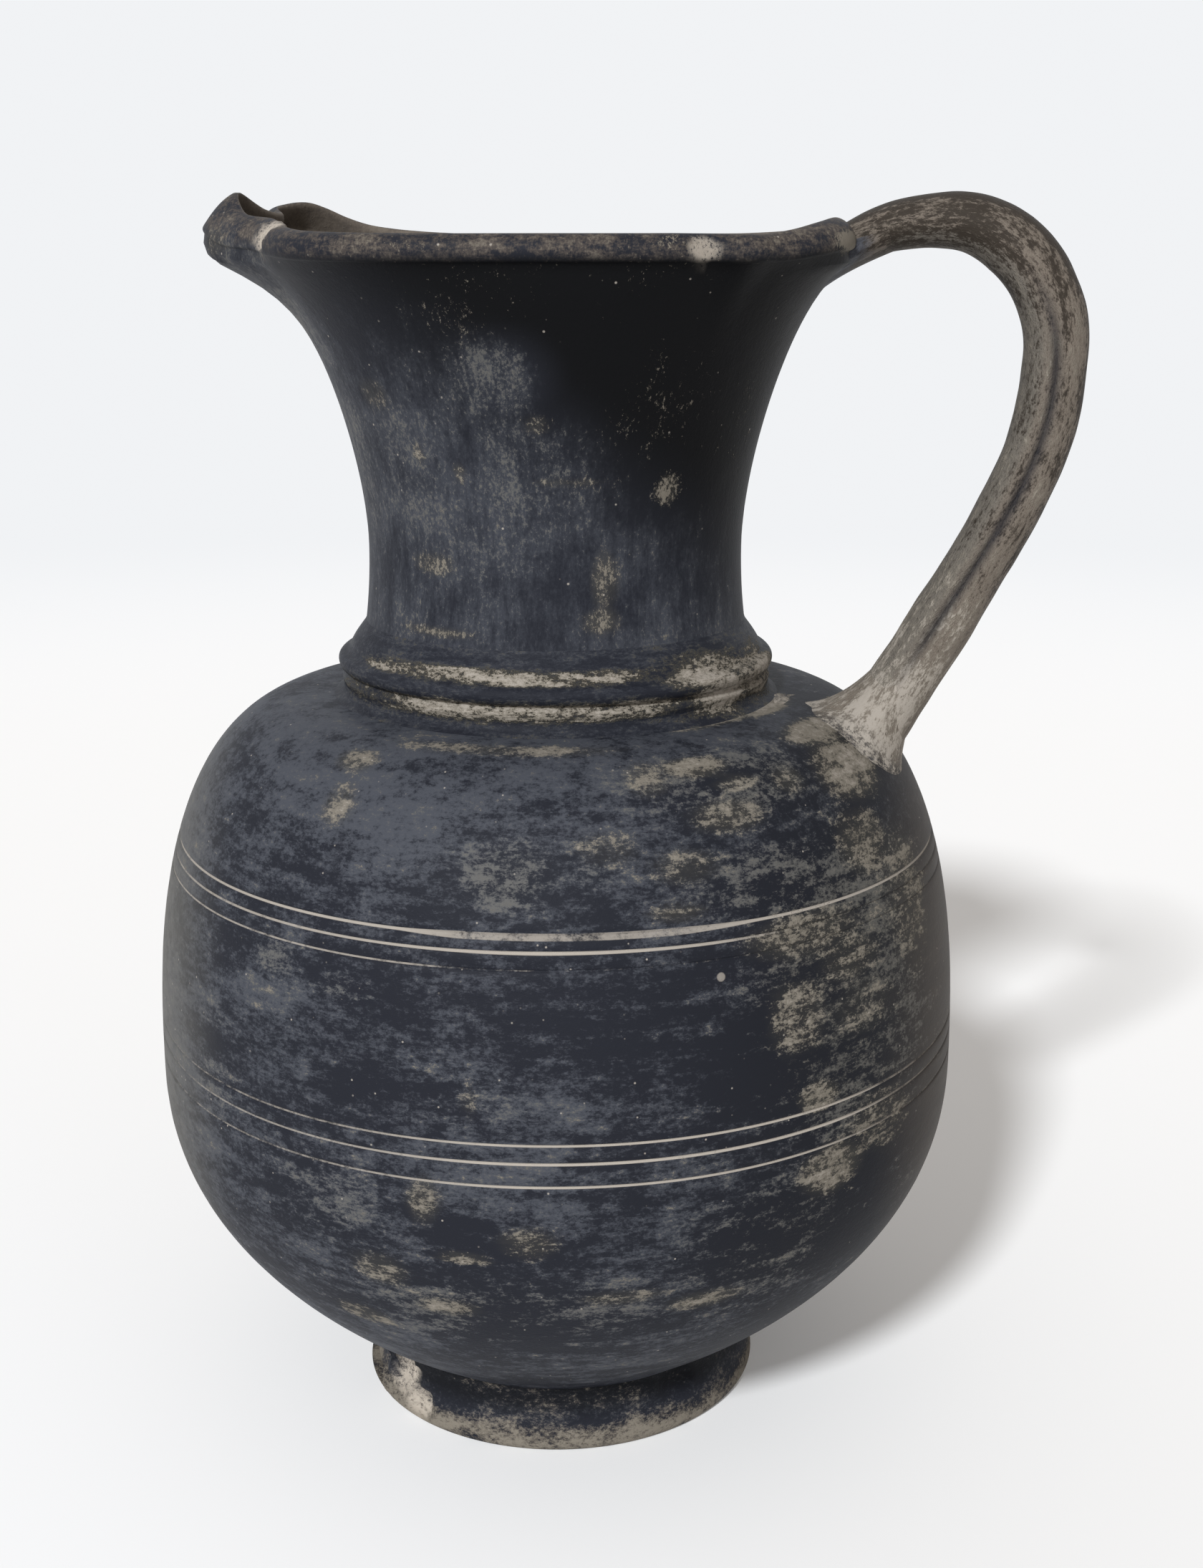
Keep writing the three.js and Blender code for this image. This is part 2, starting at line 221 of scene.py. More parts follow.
def rounded(points, count):
    """Points on a smooth line through the given ones."""
    line = []
    for i in range(len(points) - 1):
        before = Vector(points[max(i - 1, 0)])
        start = Vector(points[i])
        end = Vector(points[i + 1])
        after = Vector(points[min(i + 2, len(points) - 1)])
        for step in range(count):
            t = step / count
            line.append(0.5 * (
                2 * start + (end - before) * t
                + (2 * before - 5 * start + 4 * end - after) * t ** 2
                + (3 * start - before - 3 * end + after) * t ** 3))
    return line + [Vector(points[-1])]


def body_radius(size, height):
    if height < size.belly_height:
        share = max((height - size.foot_height) / (size.belly_height - size.foot_height), 0)
        return mix(size.foot_waist, size.belly_radius, 1 - (1 - share) ** size.lower_fullness)
    share = min((height - size.belly_height) / (size.shoulder_height - size.belly_height), 1)
    fullness = (1 - share ** size.upper_squareness) ** (1 / size.shoulder_squareness)
    return mix(size.seat_radius, size.belly_radius, fullness)


def shoulder_level(size, radius):
    share = min(max((radius - size.seat_radius) / (size.belly_radius - size.seat_radius), 0), 1)
    rise = (1 - share ** size.shoulder_squareness) ** (1 / size.upper_squareness)
    return mix(size.belly_height, size.shoulder_height, rise)


class IncisedLine:
    """A line cut round the body, and how much pale fill is left in it round the turn."""

    def __init__(self, height, width, depth, fills):
        self.height = height * MM
        self.width = width * MM
        self.depth = depth * MM
        self.turns = [turn for turn, _, _ in fills]
        self.filled = [filled / width for _, filled, _ in fills]
        self.paleness = [pale for _, _, pale in fills]

    def share_filled(self, turn):
        return float(np.interp(math.degrees(turn), self.turns, self.filled, period=360))

    def pale(self, turn):
        return float(np.interp(math.degrees(turn), self.turns, self.paleness, period=360))


# Fills are turn in degrees, width in millimetres and paleness
INCISED = [
    IncisedLine(138.6, 1.5, 0.42, [
        (-165, 0.5, 0.7), (-125, 0.55, 0.9), (-109, 0.6, 0.9), (-101, 1.3, 0.62), (-72, 1.3, 0.55),
        (-61, 0.6, 0.9), (-20, 0.5, 0.8), (20, 0.5, 0.5), (90, 0.9, 0.6), (150, 0.5, 0.6)]),
    IncisedLine(135.6, 1.0, 0.36, [
        (-165, 0.45, 0.55), (-112, 0.5, 0.85), (-90, 0.7, 1.0), (-67, 0.55, 0.85), (-56, 0.35, 0.35),
        (-20, 0.35, 0.35), (60, 0.5, 0.6), (150, 0.45, 0.5)]),
    IncisedLine(132.3, 0.8, 0.26, [
        (-155, 0.38, 0.65), (-108, 0.38, 0.65), (-99, 0.3, 0.35), (-60, 0.3, 0.3), (-20, 0.3, 0.3),
        (70, 0.35, 0.5), (150, 0.3, 0.3)]),
    IncisedLine(97.4, 0.85, 0.34, [
        (-160, 0.4, 0.4), (-112, 0.42, 0.6), (-97, 0.5, 0.95), (-52, 0.55, 1.0), (-38, 0.45, 0.6),
        (-10, 0.4, 0.4), (90, 0.45, 0.6)]),
    IncisedLine(93.5, 1.0, 0.38, [
        (-160, 0.4, 0.4), (-112, 0.45, 0.65), (-97, 0.6, 1.0), (-50, 0.65, 1.0), (-38, 0.45, 0.6),
        (-10, 0.4, 0.4), (80, 0.5, 0.6)]),
    IncisedLine(88.6, 0.85, 0.34, [
        (-160, 0.4, 0.35), (-112, 0.42, 0.6), (-95, 0.55, 0.95), (-55, 0.5, 0.9), (-38, 0.4, 0.5),
        (-10, 0.4, 0.4), (100, 0.45, 0.5)]),
]
CUT_SHAPE = [(-1, 0), (-0.7, 0.3), (-0.35, 0.85), (0, 1), (0.35, 0.85), (0.7, 0.3), (1, 0)]


def body_heights(size, lower, upper):
    low = [mix(size.foot_height, size.belly_height, share) for share in spread(lower)]
    high = [
        mix(size.belly_height, size.shoulder_height, math.sin(share * math.pi / 2) ** 1.1)
        for share in spread(upper)[1:]]
    return low + high


def body_outline(size):
    heights = [
        height for height in body_heights(size, 44, 56)
        if all(abs(height - line.height) > line.width * 0.75 for line in INCISED)]
    cuts = [
        (line.height + across * line.width / 2, share * line.depth)
        for line in INCISED for across, share in CUT_SHAPE]
    points = [(height, 0) for height in heights] + cuts
    return [(body_radius(size, height) - depth, height) for height, depth in sorted(points)]


def inner_outline(size, opening):
    heights = body_heights(size, 12, 20)
    outline = [(body_radius(size, height), height) for height in heights]
    moved = []
    for (r0, z0), (r1, z1), (r2, z2) in zip(outline, outline[1:], outline[2:]):
        reach = math.hypot(r2 - r0, z2 - z0)
        moved.append((
            r1 - (z2 - z0) / reach * size.wall,
            z1 + (r2 - r0) / reach * size.wall))
    return [
        (radius, height) for radius, height in moved
        if height > size.foot_height + size.wall and radius > opening]


def lip_foot(neck):
    return neck.rim_height - neck.lip_height


def neck_radius(neck, body, height):
    if height < neck.waist_height:
        low = body.shoulder_height + neck.straight_height
        share = min((neck.waist_height - height) / (neck.waist_height - low), 1)
        return mix(neck.waist_radius, neck.base_radius, share ** neck.base_sweep)
    share = min((height - neck.waist_height) / (lip_foot(neck) - neck.waist_height), 1)
    return mix(neck.waist_radius, neck.top_radius, share ** neck.flare_sweep)


def pinched_radius(neck, body, height, reach):
    """Outer radius of the neck's wall under a point of the lip."""
    flare = min(max((height - neck.waist_height) / (lip_foot(neck) - neck.waist_height), 0), 1)
    pull = reach - neck.lip_undercut - neck.top_radius
    return neck_radius(neck, body, height) + flare ** neck.pinch_sweep * pull


def lean_in(neck, height, rise):
    up = max(height - lip_foot(neck), 0) / (neck.lip_height + rise)
    return neck.lip_lean * rise * up * up


class LipLine:
    """Reach and rise of the lip round the axis, read from the frame's neck."""

    def __init__(self, neck):
        foot = lip_foot(neck)
        columns = {}
        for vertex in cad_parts["neck"].data.vertices:
            if vertex.co.z > foot - 0.0001:
                turn, radius = round_axis(vertex.co)
                columns.setdefault(round(turn, 3), []).append((vertex.co.z, radius))
        turns = sorted(columns)
        rises, reaches = [], []
        for turn in turns:
            top = max(height for height, _ in columns[turn])
            level = mix(foot, neck.rim_height, 0.98)
            rise = (top - level) / mix(neck.lip_lift, 1, 0.98)
            under = foot + neck.lip_lift * rise
            apart = min(abs(height - under) for height, _ in columns[turn])
            wall = max(
                radius for height, radius in columns[turn] if abs(height - under) < apart + 0.00005)
            rises.append(rise)
            reaches.append(wall + neck.lip_undercut + lean_in(neck, under, rise))
        self.grid = np.linspace(-math.pi, math.pi, 1441)
        self.rises = self.smooth(turns, rises)
        self.reaches = self.smooth(turns, reaches)

    def smooth(self, turns, values):
        """A smooth closed curve through the values."""
        x = np.array(turns)
        y = np.array(values)
        x = np.concatenate([x[-2:] - FULL_TURN, x, x[:2] + FULL_TURN])
        y = np.concatenate([y[-2:], y, y[:2]])
        slopes = np.gradient(y, x)
        right = np.clip(np.searchsorted(x, self.grid), 1, len(x) - 1)
        left = right - 1
        width = x[right] - x[left]
        t = (self.grid - x[left]) / width
        return (
            y[left] * (2 * t ** 3 - 3 * t ** 2 + 1) + slopes[left] * width * (t ** 3 - 2 * t ** 2 + t)
            + y[right] * (3 * t ** 2 - 2 * t ** 3) + slopes[right] * width * (t ** 3 - t ** 2))

    def reach(self, turn):
        return float(np.interp(turn, self.grid, self.reaches))

    def rise(self, turn):
        return float(np.interp(turn, self.grid, self.rises))


# Where the clay is worn, silted and hazed, with a few places of painted sheen and highlight: turn round the axis
# in degrees, height, half width and half height in millimetres, and strength

BODY_SILT = [
    (-46, 169.5, 16, 3, 1.1), (-22, 170.5, 16, 6, 1.5), (-30, 167, 14, 6, 1.2), (-62, 158, 12, 5, 0.8), (-70, 150, 10, 5, 0.6), (-38, 148, 12, 9, 0.8), (-46, 127, 14, 7, 0.7),
    (-92, 76, 9, 5, 0.7), (-80, 62, 12, 3, 0.7), (-112, 66, 9, 6, 0.7), (-118, 50, 10, 5, 0.7),
    (-125, 166, 6.5, 4.5, 0.95), (-123, 159, 5, 6, 0.75), (-64, 166, 10, 4, 1.1), (-73, 165, 6, 7, 0.75),
    (-58, 163, 8, 3, 0.7), (-48, 162, 6, 5, 0.7), (-32, 161, 15, 10, 1.1), (-30, 133, 14, 22, 0.6),
    (-81, 154, 9, 5, 0.55), (-72, 142, 8, 2.5, 0.75), (-53, 134, 20, 6, 0.8), (-56, 118, 11, 11, 0.65),
    (-44, 116, 16, 9, 0.6), (-53, 100, 7, 4, 1.05), (-50, 83, 12, 7, 0.95), (-105, 84, 5, 7, 0.75),
    (-100, 72, 8, 2, 0.85), (-103, 58, 10, 4, 0.7), (-68, 58, 11, 4, 0.75), (-99, 106, 2.5, 5, 0.5),
    (-41, 90, 15, 10, 0.6), (-97, 168.7, 32, 4, 0.7), (-12, 166, 14, 9, 1.5),
    (60, 150, 15, 8, 0.7), (100, 120, 18, 10, 0.6), (140, 140, 12, 6, 0.7), (172, 95, 14, 9, 0.6),
    (18, 112, 17, 12, 0.65), (75, 72, 14, 8, 0.7), (125, 60, 12, 6, 0.6), (-172, 122, 12, 8, 0.5),
    (152, 166, 9, 4, 0.8), (32, 163, 13, 6, 0.9), (88, 168, 20, 4, 0.6),
]
BODY_HAZE = [
    (-95, 150, 15, 10, 0.9), (-84, 152, 9, 8, 0.6), (-128, 129, 8, 5, 0.6), (-116, 126, 12, 4, 0.6),
    (-139, 102, 12, 16, 0.4), (-95, 56, 42, 16, 0.7), (-60, 70, 26, 20, 0.5), (-120, 80, 20, 13, 0.5),
    (-45, 120, 34, 38, 0.9), (-60, 163, 30, 12, 0.9), (-58, 146, 26, 10, 0.6), (-100, 105, 22, 7, 0.25),
    (60, 120, 30, 26, 0.6), (130, 90, 26, 22, 0.5), (100, 160, 24, 10, 0.6), (175, 150, 20, 12, 0.5),
]
NECK_SILT = [
    (-138, 238, 7, 5, 0.75), (-56, 219, 4.5, 5, 1.0), (-74, 200, 4.5, 9, 0.85), (-75, 192, 6, 4, 0.9),
    (-126, 203, 8, 3.5, 0.8), (-85, 221, 11, 2, 0.75), (-92, 233, 5, 3.5, 0.75), (-124, 189, 12, 1.2, 0.95),
    (-122, 182.5, 17, 3, 1.0), (-114, 223, 2.2, 3, 0.8), (-126, 226, 2.2, 3, 0.7), (-80, 182.5, 16, 2, 0.7),
    # (-27, 268.5) is a painted highlight on the rear lobe of the lip, where its rolled edge catches the light
    (-100, 240, 9, 7, 0.35), (-27, 268.5, 9, 3, 2.0), (-174, 268, 12, 5, 0.9),
    (-66, 268, 5, 2.5, 0.6), (-120, 268, 40, 1.6, 0.35),
    (60, 230, 8, 12, 0.7), (120, 205, 10, 8, 0.7), (160, 225, 8, 10, 0.6),
    (20, 195, 10, 8, 0.7), (90, 190, 14, 3, 0.8), (40, 184, 20, 3, 0.9),
]
NECK_HAZE = [
    (-100, 242, 12, 11, 1.0), (-93, 224, 15, 16, 0.6), (-132, 222, 10, 22, 0.35), (-110, 204, 14, 10, 0.3),
    # The places at turns -174 to -158 run down the left edge of the mouth and neck: a painted reflection, a pale
    # streak
    (-174, 268, 16, 8, 1.0), (-160, 266, 12, 5, 0.8), (-168, 250, 16, 14, 0.9), (-158, 225, 10, 26, 0.7),
    (100, 235, 15, 12, 0.8), (170, 215, 12, 16, 0.6), (40, 215, 12, 16, 0.6),
]
COLLAR_SILT = [
    (-96, 180.8, 46, 2.3, 1.35), (-140, 180.4, 12, 1.7, 1.0), (-44, 180, 16, 6, 1.5), (-100, 174, 50, 2.9, 1.45),
    (-66, 174.5, 14, 3.2, 1.3), (-40, 175, 16, 7, 1.5), (-18, 176, 16, 8, 1.4), (-150, 174, 14, 3, 0.9),
    (60, 180.6, 24, 2.0, 1.3), (80, 174, 26, 2.6, 1.3), (140, 180.6, 18, 1.8, 1.1), (155, 174, 20, 2.6, 1.1),
]


def patches(piece, name, places, radius_at):
    """Keeps on each vertex how strongly the listed places cover it."""
    mesh = piece.data
    spots = np.empty(len(mesh.vertices) * 3)
    mesh.vertices.foreach_get("co", spots)
    x, y, heights = (spots.reshape(-1, 3) - np.array(AXIS)).T
    turns = np.arctan2(y, x)
    radii = np.hypot(x, y)
    cover = np.zeros(len(radii))
    for turn, height, half_width, half_height, strength in places:
        turn = math.radians(turn)
        radius = radius_at(turn, height * MM)
        sideways = radius * np.remainder(turns - turn + math.pi, FULL_TURN) - radius * math.pi
        rest = np.hypot(heights - height * MM, radii - radius)
        far = np.hypot(sideways / (half_width * MM), rest / (half_height * MM))
        share = np.clip((1.25 - far) / 0.95, 0, 1)
        cover = np.maximum(cover, strength * share * share * (3 - 2 * share))
    layer = mesh.attributes.new(name, "FLOAT", "POINT")
    layer.data.foreach_set("value", cover)


# Modelling by hand

def start_from(name, add, **how):
    bpy.ops.object.select_all(action="DESELECT")
    add(**how)
    piece = bpy.context.object
    piece.name = name
    piece.data.name = name
    return piece


def thrown(name, outline, segments):
    """A piece turned from one outline of radius and height pairs round the jug's axis."""
    piece = start_from(name, bpy.ops.mesh.primitive_plane_add, size=MM)
    bpy.ops.object.mode_set(mode="EDIT")
    bpy.ops.mesh.select_all(action="SELECT")
    bpy.ops.mesh.merge(type="CENTER")
    radius, height = outline[0]
    bpy.ops.transform.translate(value=(AXIS.x + radius, 0, height))
    for (r0, z0), (r1, z1) in zip(outline, outline[1:]):
        step = {"value": (r1 - r0, 0, z1 - z0)}
        bpy.ops.mesh.extrude_region_move(TRANSFORM_OT_translate=step)
    bpy.ops.mesh.select_all(action="SELECT")
    bpy.ops.mesh.spin(steps=segments, angle=FULL_TURN, center=AXIS, axis=(0, 0, 1))
    bpy.ops.mesh.select_all(action="SELECT")
    bpy.ops.mesh.remove_doubles(threshold=0.01 * MM)
    bpy.ops.mesh.normals_make_consistent(inside=False)
    bpy.ops.object.mode_set(mode="OBJECT")
    settle(piece)
    return piece


def rolled(name, sides, stations):
    """A straight coil of clay, one unit long and wide, standing on the origin."""
    piece = start_from(
        name, bpy.ops.mesh.primitive_circle_add, vertices=sides, radius=1, fill_type="NGON")
    bpy.ops.object.mode_set(mode="EDIT")
    bpy.ops.mesh.select_all(action="SELECT")
    for _ in range(stations):
        step = {"value": (0, 0, 1 / stations)}
        bpy.ops.mesh.extrude_region_move(TRANSFORM_OT_translate=step)
    bpy.ops.mesh.select_all(action="SELECT")
    bpy.ops.mesh.normals_make_consistent(inside=False)
    bpy.ops.object.mode_set(mode="OBJECT")
    settle(piece)
    return piece


def settle(piece):
    bpy.ops.object.transform_apply(location=True, rotation=True, scale=True)


def shaped(piece, rule):
    for vertex in piece.data.vertices:
        vertex.co = rule(vertex.co)
    piece.data.update()


def outwards(piece):
    bpy.ops.object.select_all(action="DESELECT")
    piece.select_set(True)
    bpy.context.view_layer.objects.active = piece
    bpy.ops.object.mode_set(mode="EDIT")
    bpy.ops.mesh.select_all(action="SELECT")
    bpy.ops.mesh.normals_make_consistent(inside=False)
    bpy.ops.object.mode_set(mode="OBJECT")


def marked(piece, name, rule):
    """Keeps a number for each vertex, which the clay's colours follow."""
    layer = piece.data.attributes.new(name, "FLOAT", "POINT")
    layer.data.foreach_set("value", [rule(vertex.co) for vertex in piece.data.vertices])


def kept_places(piece, scale):
    """Keeps each vertex's place before bending, at its real size."""
    places = [part * size for vertex in piece.data.vertices for part, size in zip(vertex.co, scale)]
    layer = piece.data.attributes.new("coil", "FLOAT_VECTOR", "POINT")
    layer.data.foreach_set("vector", places)


def round_axis(place):
    across = place - AXIS
    return math.atan2(across.y, across.x), math.hypot(across.x, across.y)


def at_turn(turn, radius, height):
    return AXIS + Vector((math.cos(turn) * radius, math.sin(turn) * radius, height))


def hand_made(place, amount):
    """The slow wander of a wall thrown on a slow wheel, always inwards."""
    slow = noise.noise(place * 22)
    rings = noise.noise(Vector((place.x * 6, place.y * 6, place.z * 420)))
    return amount * (0.75 * slow + 0.1 * rings - 0.85)


def dented(place, centre, radius, depth):
    """How deep a chip or dent is at a place."""
    apart = (place - centre).length / radius
    if apart > 1.3:
        return 0
    rough = noise.noise(place * 500) * 0.35
    return depth * (1 - eased(apart + rough, 0.55, 1))


def finished(piece, node_names, material, angle=50):
    bpy.ops.object.select_all(action="DESELECT")
    piece.select_set(True)
    bpy.context.view_layer.objects.active = piece
    bpy.ops.object.shade_smooth_by_angle(angle=math.radians(angle))
    piece.data.materials.clear()
    piece.data.materials.append(material)
    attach(piece, "root")
    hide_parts(*node_names)


# Clay surfaces

class Amount:
    """A number that varies over a surface. Sums on it add Math nodes."""

    def __init__(self, surface, socket):
        self.surface = surface
        self.socket = socket

    def joined(self, operation, first, second):
        node = self.surface.node("ShaderNodeMath", {"operation": operation}, {0: first, 1: second})
        return Amount(self.surface, node.outputs[0])

    def __add__(self, other):
        return self.joined("ADD", self, other)

    __radd__ = __add__

    def __sub__(self, other):
        return self.joined("SUBTRACT", self, other)

    def __rsub__(self, other):
        return self.joined("SUBTRACT", other, self)

    def __mul__(self, other):
        return self.joined("MULTIPLY", self, other)

    __rmul__ = __mul__

    def __pow__(self, other):
        return self.joined("POWER", self, other)

    def or_more(self, other):
        return self.joined("MAXIMUM", self, other)

    def fade(self, low, high):
        """From 0 at low to 1 at high, eased at both ends."""
        node = self.surface.node("ShaderNodeMapRange", {"interpolation_type": "SMOOTHSTEP"}, {
            "Value": self, "From Min": low, "From Max": high})
        return Amount(self.surface, node.outputs[0])


class Nodes:
    """The nodes of a material or of the world."""

    def __init__(self, owner):
        owner.use_nodes = True
        self.tree = owner.node_tree

    def node(self, kind, settings, sockets):
        node = self.tree.nodes.new(kind)
        for name, value in settings.items():
            setattr(node, name, value)
        for name, value in sockets.items():
            self.feed(node.inputs[name], value)
        return node

    def feed(self, socket, value):
        if isinstance(value, Amount):
            value = value.socket
        if isinstance(value, bpy.types.NodeSocket):
            self.tree.links.new(value, socket)
        else:
            socket.default_value = value


class ClaySurface(Nodes):
    """A material, built up in layers of burnish, wear and deposit, with painted shade and sheen on some pieces.
    """

    def __init__(self, name):
        self.material = bpy.data.materials.new(name)
        super().__init__(self.material)
        self.shader = self.tree.nodes["Principled BSDF"]
        self.place = self.node("ShaderNodeTexCoord", {}, {}).outputs["Object"]
        axes = self.node("ShaderNodeSeparateXYZ", {}, {"Vector": self.place}).outputs
        self.x, self.y, self.z = (Amount(self, axis) for axis in axes)

    def follow(self, name):
        """Lets the speckles run along a bent piece, by the places kept on its vertices."""
        self.place = self.node("ShaderNodeAttribute", {"attribute_name": name}, {}).outputs["Vector"]

    def speckle(self, size, detail=5, roughness=0.6, stretch=(1, 1, 1), seed=0):
        """Uneven clay, 0 to 1, with spots of about this size in millimetres."""
        scale = tuple(1 / (size * MM * along) for along in stretch)
        moved = self.node("ShaderNodeMapping", {}, {
            "Vector": self.place, "Scale": scale, "Location": (seed, 1.7 * seed, -seed)})
        field = self.node("ShaderNodeTexNoise", {}, {
            "Vector": moved.outputs[0], "Scale": 1, "Detail": detail, "Roughness": roughness})
        return Amount(self, field.outputs[0])

    def near(self, centre, radius, soft=0.5):
        apart = self.node("ShaderNodeVectorMath", {"operation": "DISTANCE"}, {
            0: self.place, 1: tuple(centre)})
        return 1 - Amount(self, apart.outputs["Value"]).fade(radius * (1 - soft), radius)

    def mark(self, name):
        node = self.node("ShaderNodeAttribute", {"attribute_name": name}, {})
        return Amount(self, node.outputs["Fac"])

    def blend(self, share, first, second):
        node = self.node("ShaderNodeMix", {"data_type": "RGBA"}, {0: share, 6: first, 7: second})
        return node.outputs[2]

    def finish(self, colour, roughness, relief, depth):
        """Feeds the shader, with a relief of this depth in millimetres."""
        self.feed(self.shader.inputs["Base Color"], colour)
        self.feed(self.shader.inputs["Roughness"], roughness)
        self.shader.inputs["Specular IOR Level"].default_value = 0.06
        bump = self.node("ShaderNodeBump", {}, {
            "Height": relief, "Distance": depth * MM, "Strength": 1.0})
        self.feed(self.shader.inputs["Normal"], bump.outputs[0])
        return self.material


def opaque(colour):
    return (*colour, 1)


def burnished(surface, colours, haze_and_sheen):
    """Dark burnish, greyed where the share is high: partly greyed clay, partly painted sheen."""
    return surface.blend(haze_and_sheen, opaque(colours.burnish), opaque(colours.haze_and_sheen))


def specks(surface, size, seed):
    """Pinpoints of pale grit, here and there."""
    dots = surface.node("ShaderNodeTexVoronoi", {}, {
        "Vector": surface.place, "Scale": 1 / (size * MM)})
    spot = 1 - Amount(surface, dots.outputs["Distance"]).fade(0.03, 0.085)
    return spot * surface.speckle(7, 3, 0.5, seed=seed).fade(0.46, 0.56)


def body_clay(colours, body):
    surface = ClaySurface("body_burnish")
    clouds = surface.speckle(32, 5, 0.62, (1, 1, 0.7))
    brush = surface.speckle(5, 6, 0.75, (3.5, 3.5, 0.7), 5)
    flecks = surface.speckle(2.2, 4, 0.8, (1.7, 1.7, 1), 9)
    grain = surface.speckle(0.8, 3, 0.85, (1.5, 1.5, 1), 7)
    silted = surface.mark("silt")
    haze_and_sheen_marks = surface.mark("haze_and_sheen")
    # Painted shade: the right side, away from the lamp, turns towards the shade colour and loses sheen
    right = (surface.x - AXIS.x).fade(0.0, 0.085)
    # Painted light: the left side, towards the lamp, gets a little more sheen and grey speckle
    left = (AXIS.x - surface.x).fade(0.02, 0.09)
    # Painted highlight: a paler veil in the dusty grey along the far left edge, where the edge catches the light
    rim = (AXIS.x - surface.x).fade(0.066, 0.09)
    # Painted sheen: the shoulder, which faces up, is greyed where it would reflect the pale room
    up = surface.z.fade(0.135, 0.165)
    uneven = brush * 0.35 + flecks * 0.3 + grain * 0.25
    # Sheen is partly the burnish's uneven greying and partly painted light: more on the shoulder and to the
    # left, less to the right
    sheen = (clouds * 0.5 + uneven * 1.3 + up * 0.05 + left * 0.03 - right * 0.07).fade(0.79, 0.94)
    dust_and_sheen = (uneven * 1.3 + clouds * 0.3 + haze_and_sheen_marks * clouds * 0.26 + left * 0.02).fade(0.8, 0.91)
    stain = (silted * 0.8 + clouds * 0.7 + brush * 0.6).fade(0.75, 1.5)
    silt = (uneven * 1.35 + clouds * 0.12 + silted * 0.18).fade(0.76, 0.84)
    thick = (uneven * 1.35 + silted * 0.15).fade(0.76, 0.88)
    broken = surface.speckle(4, 5, 0.8, (1.5, 1.5, 1), 8)
    pale = surface.mark("pale")
    filled = surface.mark("incised").fade(0.0, 0.2) * (pale * 0.5 + broken * 0.6 + grain * 0.3).fade(0.6, 0.8)
    brown = surface.x.fade(0.058, 0.08)
    dot = surface.near(at_turn(math.radians(-67), body_radius(body, 0.129), 0.129), 0.00105, 0.3)
    colour = burnished(surface, colours, sheen)
    # Painted shade on the right side, away from the lamp
    colour = surface.blend(right * 0.5, colour, opaque(colours.shade_black))
    # Painted highlight along the far left edge
    colour = surface.blend(rim * (0.25 + flecks * 0.8), colour, opaque(colours.dust_and_sheen))
    colour = surface.blend(brown * (0.35 + brush * 0.8), colour, opaque([part * 0.5 for part in colours.brown]))
    colour = surface.blend(stain * 0.45, colour, opaque(colours.stain))
    colour = surface.blend(dust_and_sheen * 0.6, colour, opaque(colours.dust_and_sheen))
    colour = surface.blend(silt * 0.75, colour, opaque(colours.silt))
    colour = surface.blend(thick * 0.5, colour, opaque(colours.lime))
    colour = surface.blend(specks(surface, 3.4, 4) * 0.8, colour, opaque(colours.lime))
    colour = surface.blend(filled * (0.25 + pale * 0.75), colour, opaque(colours.lime))
    colour = surface.blend(dot * 0.55, colour, opaque(colours.lime))
    gloss = 0.48 + clouds * 0.1 + silt * 0.25 + filled * 0.25
    relief = grain * 0.3 + brush * 0.35 + clouds + silt * 0.25
    return surface.finish(colour, gloss, relief, 0.3)


